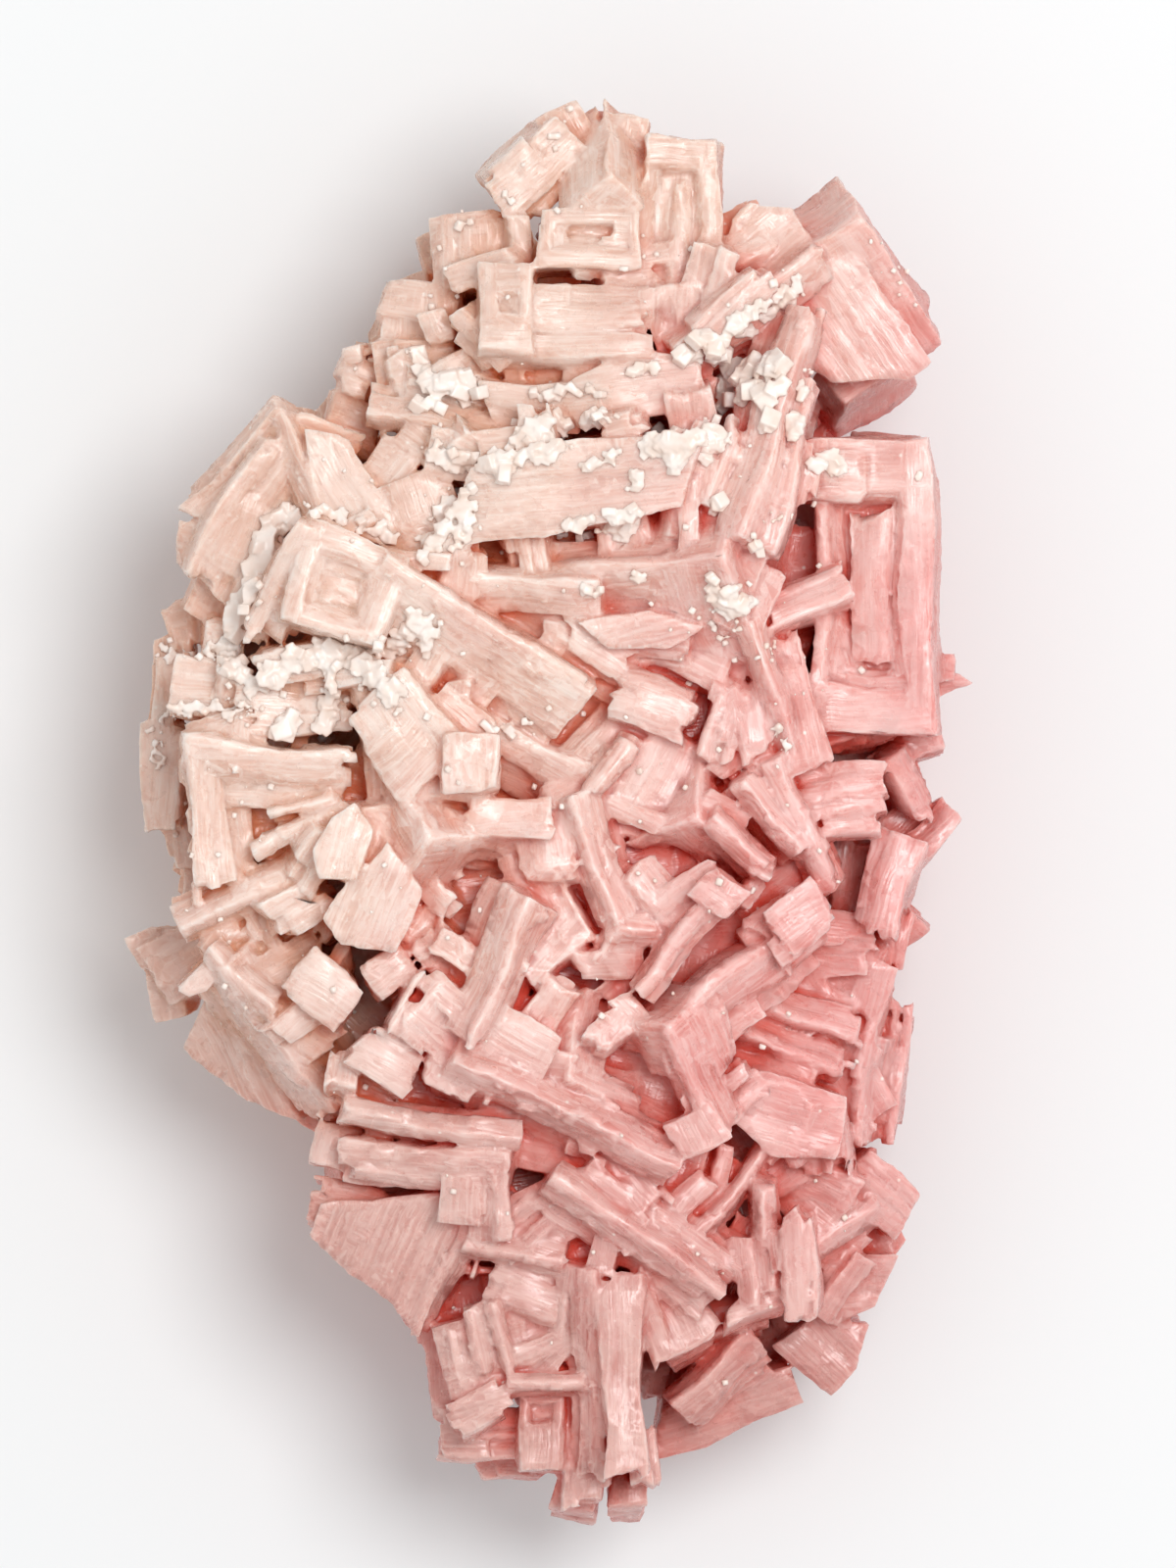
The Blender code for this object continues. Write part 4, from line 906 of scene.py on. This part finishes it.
def face_frame(points):
    """The two directions of a face, the longer way first, and the lowest and highest values
    that its corners reach along them."""
    edges = [b - a for a, b in zip(points, points[1:] + points[:1])]
    along = max(edges, key=lambda edge: edge.length).normalized()
    normal = (points[1] - points[0]).cross(points[2] - points[1])
    across = normal.cross(along).normalized()
    spans = [[axis.dot(point) for point in points] for axis in (along, across)]
    return along, across, [reach(span) for span in spans for reach in (min, max)]


def as_mesh(mesh, name):
    data = bpy.data.meshes.new(name)
    mesh.to_mesh(data)
    mesh.free()
    return data


def linked(name, data):
    """An object in the scene."""
    made = bpy.data.objects.new(name, data)
    bpy.context.scene.collection.objects.link(made)
    return made


def solid_from(name, lattice, rings, tint):
    """A closed mesh through the rings of a solid, which stand in its lattice. Each face keeps
    its two directions, and how far it reaches along them."""
    origin, axes = lattice
    mesh = bmesh.new()
    loops = [[mesh.verts.new(origin + axes @ point) for point in ring] for ring in rings]
    count = len(rings[0])
    for i in range(count):
        j = (i + 1) % count
        mesh.faces.new((loops[0][i], loops[0][j], loops[1][j], loops[1][i]))
    mesh.faces.new(loops[0][::-1])
    mesh.faces.new(loops[1])
    kept = mesh.faces.layers
    first, second = kept.float_vector.new("along"), kept.float_vector.new("across")
    reach, shade = kept.float_color.new("reach"), kept.float.new("tint")
    for face in mesh.faces:
        face[first], face[second], face[reach] = face_frame([vert.co for vert in face.verts])
        face[shade] = tint
    bmesh.ops.recalc_face_normals(mesh, faces=mesh.faces)
    return bpy.data.objects.new(name, as_mesh(mesh, name))


def boolean(target, operation, **operand):
    change = target.modifiers.new(operation.lower(), "BOOLEAN")
    for name, value in {"operation": operation, "solver": "MANIFOLD", **operand}.items():
        setattr(change, name, value)


def linked_shell(start, left):
    """The faces that join on to the first one through shared edges, taken out of `left`."""
    shell, front = set(), [start]
    while front:
        face = front.pop()
        shell.add(face)
        near = {other for edge in face.edges for other in edge.link_faces} & left
        left -= near
        front += near
    return shell


def keep_outer_shell(mesh):
    """Takes away what doesn't hang together with the largest shell."""
    left = set(mesh.faces)
    shells = []
    while left:
        shells.append(linked_shell(left.pop(), left))
    outside = max(shells, key=len)
    inner = [face for shell in shells if shell is not outside for face in shell]
    bmesh.ops.delete(mesh, geom=inner, context="FACES")


def ground_box():
    far = 2 * max(OUTLINE_REACH)
    return bar((Vector((0, 0, 0)), Matrix.Identity(3)), (-far, far), (-far, far), (-far, 0.0))


def forms():
    made = [form for group in GROUPS for form in group]
    for flank in FLANKS:
        made += flank_blocks(*flank)
    return made + fill_blocks(tree_of(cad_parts["halite_cluster"].data)) + big_blocks()


def worn(places):
    """The points moved by waves of every direction, so that no edge stays quite straight."""
    draw = random.Random(WEAR_SEED)
    moved = places.copy()
    for size, amount in WEAR:
        for _ in range(WAVES):
            way = Vector([draw.gauss(0, 1) for _ in range(3)]).normalized() * math.tau / size
            turns = places @ numpy.array(way * draw.uniform(0.6, 1.5)) + draw.uniform(0, math.tau)
            push = numpy.array([draw.gauss(0, amount / math.sqrt(WAVES)) for _ in range(3)])
            moved += numpy.sin(turns)[:, None] * push
    rising = numpy.clip((places[:, 2] - BASE_HEIGHT) / BASE_FADE, 0.0, 1.0)
    moved[:, 2] = places[:, 2] + (moved[:, 2] - places[:, 2]) * rising
    return moved


def changed(data, *changes):
    """A copy of the mesh after the modifiers, each given as its kind and settings."""
    obj = linked("changed", data)
    for kind, settings in changes:
        change = obj.modifiers.new(kind.lower(), kind)
        for name, value in settings.items():
            setattr(change, name, value)
    made = bpy.data.meshes.new_from_object(obj.evaluated_get(bpy.context.evaluated_depsgraph_get()))
    bpy.data.objects.remove(obj)
    return made


def triangles_in(data):
    return sum(len(face.vertices) - 2 for face in data.polygons)


def thinned(data, most):
    """The mesh in triangles, in as many as are allowed."""
    share = min(1.0, most / triangles_in(data))
    return changed(data, ("DECIMATE", {"ratio": share, "use_collapse_triangulate": True}))


def values_of(items, field, width, kind=float):
    """One field of each item, as rows of an array."""
    values = numpy.empty(len(items) * width, dtype=kind)
    items.foreach_get(field, values)
    return values.reshape(-1, width)


def corners_of(data):
    return values_of(data.vertices, "co", 3)


def set_corners(data, places):
    data.vertices.foreach_set("co", places.ravel())


def voxels(size, **settings):
    return "REMESH", {"mode": "VOXEL", "voxel_size": size, "use_smooth_shade": True, **settings}


def melted(sharp):
    """The crystals with softened edges, worn out of true, in as many triangles as are allowed."""
    soft = changed(sharp, voxels(VOXEL, adaptivity=EVENED))
    set_corners(soft, worn(corners_of(soft)))
    thin = thinned(soft, TRIANGLES)
    places = corners_of(thin)
    places[places[:, 2] < BASE_HEIGHT, 2] = 0.0
    set_corners(thin, places)
    mesh = bmesh.new()
    mesh.from_mesh(thin)
    keep_outer_shell(mesh)
    return as_mesh(mesh, "melted")


def keep_face_frames(data, sharp):
    """Two UV layers keep how far each corner lies from the edges of the crystal face nearest to
    it, in mm, and an attribute keeps the crystal's tint."""
    source = bmesh.new()
    source.from_mesh(sharp)
    tree = BVHTree.FromBMesh(source)
    source.free()
    kept = {name: values_of(sharp.attributes[name].data, field, width) for name, field, width in FACE_FIELDS}
    nearest = numpy.array([tree.find_nearest(face.center)[2] for face in data.polygons])
    corners = values_of(data.loops, "vertex_index", 1, int)[:, 0]
    places = corners_of(data)[corners]
    owner = numpy.repeat(nearest, 3)
    along = (places * kept["along"][owner]).sum(axis=1)
    across = (places * kept["across"][owner]).sum(axis=1)
    a0, a1, b0, b1 = kept["reach"][owner].T
    for name, pair in (("near", (along - a0, across - b0)), ("far", (a1 - along, b1 - across))):
        data.uv_layers.new(name=name).uv.foreach_set("vector", numpy.stack(pair, axis=1).ravel())
    data.attributes.new("tint", "FLOAT", "FACE").data.foreach_set("value", kept["tint"][nearest].ravel())


def openness(mesh):
    """How much of the sky above each corner is open, from 0 to 1."""
    tree = BVHTree.FromBMesh(mesh)
    rays = []
    for height, first, count in SKY_RINGS:
        rise = math.radians(height)
        for i in range(count):
            x, y = compass(first + 360 / count * i)
            rays.append(Vector((x * math.cos(rise), y * math.cos(rise), math.sin(rise))))
    mesh.verts.ensure_lookup_table()
    values = []
    for vert in mesh.verts:
        start = vert.co + vert.normal * SKY_START
        open_rays = 0
        for ray in rays:
            hit = tree.ray_cast(start, ray, SKY_REACH)
            open_rays += 1.0 if hit[0] is None else min(hit[3] / SKY_REACH, 1.0) * SKY_NEAR
        values.append(open_rays / len(rays))
    smooth = []
    for vert in mesh.verts:
        round_it = [values[edge.other_vert(vert).index] for edge in vert.link_edges]
        smooth.append((values[vert.index] + sum(round_it) / max(len(round_it), 1)) / 2)
    return smooth


def round_about(values, ends, count):
    """Each corner's mean over the corners that its edges lead to."""
    sums, number = numpy.zeros_like(values), numpy.zeros(count)
    for here, there in ((0, 1), (1, 0)):
        numpy.add.at(sums, ends[:, here], values[ends[:, there]])
        numpy.add.at(number, ends[:, here], 1)
    return (sums.T / numpy.maximum(number, 1)).T


def ridges(data):
    """How far each corner stands out of the surface round it: above zero on an edge, below it
    in a crease."""
    places, normals = corners_of(data), values_of(data.vertices, "normal", 3)
    ends = values_of(data.edges, "vertices", 2, int)
    away = round_about(places, ends, len(places)) - places
    values = -(away * normals).sum(axis=1)
    for _ in range(RIDGE_SMOOTHED):
        values = (values + round_about(values, ends, len(places))) / 2
    return values


def crystal_bodies():
    """The union of every crystal, cut flat at the base, in the tables' millimetres."""
    draw = random.Random(TINT_SEED)
    crystals = bpy.data.collections.new("crystals")
    top = bpy.context.scene.collection
    top.children.link(crystals)
    solids = []
    for form in forms():
        tint = draw.random()
        for lattice, rings in form:
            solids.append(solid_from(f"solid_{len(solids)}", lattice, rings, tint))
    first, *others = solids
    for crystal in others:
        crystals.objects.link(crystal)
    ground = solid_from("ground", *ground_box(), 0.0)
    top.objects.link(first)
    top.objects.link(ground)
    boolean(first, "UNION", operand_type="COLLECTION", collection=crystals)
    boolean(first, "DIFFERENCE", object=ground)
    mesh = bmesh.new()
    mesh.from_object(first, bpy.context.evaluated_depsgraph_get())
    for obj in (first, ground, *others):
        bpy.data.objects.remove(obj)
    bpy.data.collections.remove(crystals)
    keep_outer_shell(mesh)
    return as_mesh(mesh, "sharp")


def cluster_mesh():
    """The surface of the whole cluster, in the frame's metres, with what its colours need."""
    sharp = crystal_bodies()
    data = melted(sharp)
    keep_face_frames(data, sharp)
    ridge = ridges(data)
    mesh = bmesh.new()
    mesh.from_mesh(data)
    sky = openness(mesh)
    bmesh.ops.translate(mesh, vec=-ORIGIN, verts=mesh.verts)
    bmesh.ops.scale(mesh, vec=(MM, MM, MM), verts=mesh.verts)
    data = as_mesh(mesh, "halite_crystals")
    for name, values in (("sky", sky), ("ridge", ridge)):
        data.attributes.new(name, "FLOAT", "POINT").data.foreach_set("value", values)
    return data


def grain(mesh, at, size, draw):
    """A small cube with its corners out of true, at a random turn."""
    turn = Matrix.Rotation(draw.uniform(0, math.tau), 3, "Z") @ Matrix.Rotation(draw.gauss(0, 0.4), 3, "X")
    half = [size / 2 * draw.uniform(0.65, 1.0) for _ in range(3)]
    corners = []
    for z in (-1, 1):
        for x, y in ((-1, -1), (1, -1), (1, 1), (-1, 1)):
            place = Vector([a * b * draw.uniform(0.8, 1.05) for a, b in zip((x, y, z), half)])
            corners.append(mesh.verts.new(at + turn @ place))
    for face in ((3, 2, 1, 0), (4, 5, 6, 7), (0, 1, 5, 4), (1, 2, 6, 5), (2, 3, 7, 6), (3, 0, 4, 7)):
        mesh.faces.new([corners[i] for i in face])


def drop_grain(mesh, tree, x, y, size, draw):
    """Sets a grain on whatever lies below, a little sunk in."""
    point, normal = seen_from_above(tree, x, y)
    if point and point.z > GRAIN_LOWEST and normal.z > GRAIN_UPRIGHT:
        grain(mesh, point + normal * size * (0.5 - GRAIN_SUNK), size, draw)


def grain_mesh(cluster):
    """Every white grain as one mesh. Along a trail they lie in heaps."""
    draw = random.Random(GRAIN_SEED)
    tree = tree_of(cluster)
    mesh = bmesh.new()
    for points, spread, rate, (small, large) in GRAIN_TRAILS:
        for (x0, y0), (x1, y1) in zip(points, points[1:]):
            for _ in range(round(math.hypot(x1 - x0, y1 - y0) * rate)):
                share = draw.random()
                x = x0 + (x1 - x0) * share + draw.gauss(0, spread * 0.6)
                y = y0 + (y1 - y0) * share + draw.gauss(0, spread * 0.6)
                drop_grain(mesh, tree, x, y, small + (large - small) * draw.random() ** 1.6, draw)
    for _ in range(STRAY_GRAINS):
        angle, share = draw.uniform(0, 360), math.sqrt(draw.random()) * 0.95
        place = outline_point(angle, share, 0.0)
        if place.y > draw.uniform(-75, 45):
            drop_grain(mesh, tree, place.x, place.y, draw.uniform(*STRAY_SIZE), draw)
    bmesh.ops.recalc_face_normals(mesh, faces=mesh.faces)
    smooth = "SMOOTH", {"factor": 0.5, "iterations": 1}
    data = thinned(changed(as_mesh(mesh, "cubes"), voxels(GRAIN_VOXEL), smooth), GRAIN_TRIANGLES)
    data.validate()
    set_corners(data, (corners_of(data) - numpy.array(ORIGIN)) * MM)
    data.name = "white_grains"
    return data


# Base colours: body tones, then milky veils that also paint light, dusky tones that also paint shade, painted
# crevice shade, and grains.
PEACH = (0.78, 0.51, 0.41, 1)
ROSE = (0.76, 0.29, 0.265, 1)
MAUVE = (0.56, 0.26, 0.225, 1)
MILK = (0.94, 0.82, 0.75, 1)
PINK_MILK = (0.88, 0.58, 0.55, 1)
DULL_MILK = (0.80, 0.56, 0.50, 1)
TAN = (0.55, 0.30, 0.19, 1)
DUSK = (0.52, 0.15, 0.13, 1)
# Painted shade down the crevices, the last two for the deepest:
SHADE_AMBER = (0.82, 0.42, 0.26, 1)
SHADE_RED = (0.76, 0.17, 0.13, 1)
DEEP_SHADE_ORANGE = (0.72, 0.20, 0.07, 1)
DEEP_SHADE_RED = (0.70, 0.06, 0.03, 1)
SNOW = (0.93, 0.85, 0.79, 1)
CREAM = (0.85, 0.70, 0.61, 1)
SALT = {
    "IOR": 1.544, "Subsurface Weight": 1.0, "Subsurface Radius": (1.0, 1.0, 1.0), "Subsurface Scale": 0.0009,
    "Transmission Weight": 0.08, "Specular IOR Level": 0.5,
}
GRAIN_SALT = {"IOR": 1.544, "Roughness": 0.3, "Transmission Weight": 0.06, "Specular IOR Level": 0.5}
SHIFT = 91.0  # how far a crystal's tint moves its patterns
BUMP, BUMP_HEIGHT = 0.55, 0.0002


class Wires:
    """Short calls that add shader nodes to a new material and join them."""

    def __init__(self, name):
        self.material = bpy.data.materials.new(name)
        self.material.use_nodes = True
        self.tree = self.material.node_tree
        self.shader = self.tree.nodes["Principled BSDF"]

    def feed(self, socket, value):
        if isinstance(value, bpy.types.NodeSocket):
            self.tree.links.new(value, socket)
        else:
            socket.default_value = value

    def node(self, kind, values=(), **settings):
        """A node with some settings, and values for its inputs by number or name."""
        made = self.tree.nodes.new("ShaderNode" + kind)
        for name, value in settings.items():
            setattr(made, name, value)
        for name, value in dict(values).items():
            self.feed(made.inputs[name], value)
        return made.outputs

    def math(self, operation, a, b):
        return self.node("Math", {0: a, 1: b}, operation=operation)[0]

    def plus(self, a, b):
        return self.math("ADD", a, b)

    def times(self, a, b):
        return self.math("MULTIPLY", a, b)

    def weighted(self, *terms):
        """The sum of values, each with its weight."""
        total, *others = [self.times(value, weight) for value, weight in terms]
        for term in others:
            total = self.plus(total, term)
        return total

    def swing(self, noise, size):
        """A noise about zero, `size` wide."""
        return self.times(self.math("SUBTRACT", noise, 0.5), size)

    def ramp(self, value, low, high, start=0.0, end=1.0):
        numbers = {"From Min": low, "From Max": high, "To Min": start, "To Max": end}
        return self.node("MapRange", {"Value": value, **numbers})[0]

    def mix(self, share, a, b):
        return self.node("Mix", {0: share, 6: a, 7: b}, data_type="RGBA")[2]

    def noise(self, place, scale, detail=2.0):
        return self.node("TexNoise", {"Vector": place, "Scale": scale, "Detail": detail})[0]

    def cells(self, place, scale):
        """The distance from the nearest of scattered points, and a value for the cell round it."""
        made = self.node("TexVoronoi", {"Vector": place, "Scale": scale})
        return made["Distance"], self.apart(made["Color"])[0]

    def apart(self, vector):
        return self.node("SeparateXYZ", {0: vector})

    def joined(self, x, y, z):
        return self.node("CombineXYZ", {0: x, 1: y, 2: z})[0]

    def attribute(self, name):
        return self.node("Attribute", attribute_name=name)["Fac"]

    def uv(self, name):
        return self.apart(self.node("UVMap", uv_map=name)[0])[:2]

    def place(self):
        return self.node("TexCoord")["Object"]

    def finish(self, constants, **fields):
        for name, value in {**constants, **fields}.items():
            self.feed(self.shader.inputs[name.replace("_", " ")], value)
        return self.material


def salt():
    w = Wires("pink halite")
    place = w.place()
    x, y, z = w.apart(place)
    clouds, wisps = w.noise(place, 210.0, 4.0), w.noise(place, 620.0, 4.0)

    # growth lines, from how far a point lies from the edges of its face
    (along, across), (past_along, past_across) = w.uv("near"), w.uv("far")
    inset = w.math("MINIMUM", w.math("MINIMUM", along, across), w.math("MINIMUM", past_along, past_across))
    shift = w.times(w.attribute("tint"), SHIFT)
    side = w.plus(w.plus(across, w.times(clouds, 1.1)), shift)
    inward = w.plus(w.plus(inset, w.times(clouds, 0.4)), shift)
    streaks = w.noise(w.joined(w.times(along, 0.09), side, shift), 0.9, 3.0)
    fine = w.noise(w.joined(w.times(along, 0.05), side, shift), 3.6)
    nested = w.noise(w.joined(inward, w.times(along, 0.04), shift), 2.4)
    lath_tone = w.cells(w.joined(w.times(along, 0.10), side, shift), 1.3)[1]

    # the tones: peach at the upper left, rose at the right, mauve at the foot, partly painted shade towards
    # the lower left
    across_all = w.plus(w.weighted((x, 16.0), (y, -6.0)), w.swing(w.noise(place, 45.0), 0.8))
    warm, red = w.ramp(across_all, -0.20, 0.46), w.ramp(across_all, -0.35, 0.05)
    low_end = w.ramp(w.plus(y, w.times(x, 0.4)), -0.018, -0.052, 0.0, 0.85)
    body = w.mix(low_end, w.mix(warm, PEACH, ROSE), MAUVE)
    # milky veils of the salt, also used as painted light on tops and edges
    milky_veil_and_light = w.mix(low_end, w.mix(warm, MILK, PINK_MILK), DULL_MILK)
    # dusky tones: dark mottling of the salt, and painted shade in creases, on flanks and low down
    mottle_and_shade = w.mix(red, TAN, DUSK)
    # painted shade down the crevices, in saturated reds
    crevice_shade, deep_shade = w.mix(red, SHADE_AMBER, SHADE_RED), w.mix(red, DEEP_SHADE_ORANGE, DEEP_SHADE_RED)

    # whiter on the edges and in veils, the edges partly painted highlight; painted shade in the creases and
    # down the crevices
    ridge = w.plus(w.attribute("ridge"), w.swing(wisps, 0.22))
    sky = w.plus(w.attribute("sky"), w.swing(clouds, 0.3))
    upright = w.apart(w.node("NewGeometry")["Normal"])[2]
    crown = w.plus(y, w.times(x, -0.6))
    # white specks: partly white flecks in the salt, partly painted glints
    far_off, cell = w.cells(place, 620.0)
    flecks_and_glints = w.plus(far_off, w.ramp(cell, 0.10, 0.35))
    for field, low, high, start, end, tone in (
        (streaks, 0.44, 0.68, 0.0, 0.45, milky_veil_and_light), (clouds, 0.46, 0.66, 0.0, 0.42, milky_veil_and_light),
        (clouds, 0.44, 0.30, 0.0, 0.30, mottle_and_shade), (fine, 0.52, 0.62, 0.0, 0.42, milky_veil_and_light),
        (fine, 0.44, 0.30, 0.0, 0.16, mottle_and_shade), (nested, 0.52, 0.62, 0.0, 0.42, milky_veil_and_light),
        (nested, 0.44, 0.30, 0.0, 0.16, mottle_and_shade), (lath_tone, 0.4, 1.0, 0.0, 0.30, milky_veil_and_light),
        # painted light and shade: tops lighter and flanks darker, by how they face the light
        (upright, 0.75, 0.99, 0.0, 0.25, milky_veil_and_light), (upright, 0.60, 0.0, 0.0, 0.35, mottle_and_shade),
        # edges whiter, partly pale salt and partly painted highlight; creases darker, as painted shade
        (ridge, 0.10, 0.26, 0.0, 0.65, milky_veil_and_light), (ridge, -0.08, -0.22, 0.0, 0.8, mottle_and_shade),
        # painted shade on what lies low; a tan tone over the crown
        (z, 0.034, 0.010, 0.0, 0.65, mottle_and_shade), (crown, 0.030, 0.048, 0.0, 0.17, TAN),
        # painted shade: saturated reds where little of the sky is open, down the crevices
        (sky, 0.22, 0.78, 0.85, 0.0, crevice_shade), (sky, 0.12, 0.46, 0.97, 0.0, deep_shade),
        # white specks, partly painted glints
        (flecks_and_glints, 0.16, 0.05, 0.0, 0.8, SNOW),
    ):
        body = w.mix(w.ramp(field, low, high, start, end), body, tone)
    height = w.weighted((streaks, 1.2), (fine, 0.45), (nested, 0.45), (wisps, 0.6), (lath_tone, 0.4))
    bump = w.node("Bump", {"Strength": BUMP, "Distance": BUMP_HEIGHT, "Height": height})[0]
    return w.finish(SALT, Base_Color=body, Roughness=w.ramp(wisps, 0.35, 0.65, 0.20, 0.40), Normal=bump)


def white_salt():
    w = Wires("white halite grains")
    patches = w.ramp(w.noise(w.place(), 500.0), 0.35, 0.65)
    return w.finish(GRAIN_SALT, Base_Color=w.mix(patches, CREAM, SNOW))


# The table, the light and the camera, in metres.
FLOOR_REACH = 3.0
FLOOR = {"Base Color": (0.785, 0.80, 0.805, 1), "Roughness": 0.8}
WORLD_LIGHT = 0.80
EXPOSURE = -0.10
KEY_AT, KEY_AIM, KEY_SIZE, KEY_WATTS = (0.27, 0.17, 0.93), (0, 0, 0.02), 0.45, 5.6
CAMERA_OVER = (0.00385, 0.00281)  # the point at the middle of the picture
CAMERA_TALL = 0.160  # what the picture's height spans at CAMERA_DISTANCE
CAMERA_DISTANCE = 2.0
CAMERA_FOCUS = 0.03  # the height that the distance counts from
SENSOR = 36.0


def camera():
    """A camera that looks straight down."""
    data = bpy.data.cameras.new("camera")
    data.sensor_fit = "VERTICAL"
    data.sensor_height = SENSOR
    data.lens = SENSOR * CAMERA_DISTANCE / CAMERA_TALL
    data.clip_end = 10.0
    made = linked("camera", data)
    made.location = (*CAMERA_OVER, CAMERA_DISTANCE + CAMERA_FOCUS)
    bpy.context.scene.camera = made


def floor():
    data = bpy.data.meshes.new("floor")
    far = FLOOR_REACH
    data.from_pydata([(-far, -far, 0), (far, -far, 0), (far, far, 0), (-far, far, 0)], [], [(0, 1, 2, 3)])
    data.materials.append(Wires("white table").finish(FLOOR))
    linked("floor", data)


def studio():
    scene = bpy.context.scene
    scene.world = bpy.data.worlds.new("studio")
    scene.world.use_nodes = True
    background = scene.world.node_tree.nodes["Background"]
    background.inputs["Color"].default_value = (1, 1, 1, 1)
    background.inputs["Strength"].default_value = WORLD_LIGHT
    data = bpy.data.lights.new("key", "AREA")
    data.shape = "DISK"
    data.size = KEY_SIZE
    data.energy = KEY_WATTS
    key = linked("key", data)
    key.location = KEY_AT
    key.rotation_euler = (Vector(KEY_AT) - Vector(KEY_AIM)).to_track_quat("Z", "Y").to_euler()
    scene.view_settings.view_transform = "Standard"
    scene.view_settings.exposure = EXPOSURE


def main():
    cluster = linked("halite_crystals", cluster_mesh())
    cluster.data.materials.append(salt())
    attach(cluster, "root")
    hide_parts("halite_cluster")
    grains = linked("white_grains", grain_mesh(cluster.data))
    grains.data.materials.append(white_salt())
    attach(grains, "root")
    floor()
    studio()
    camera()


main()
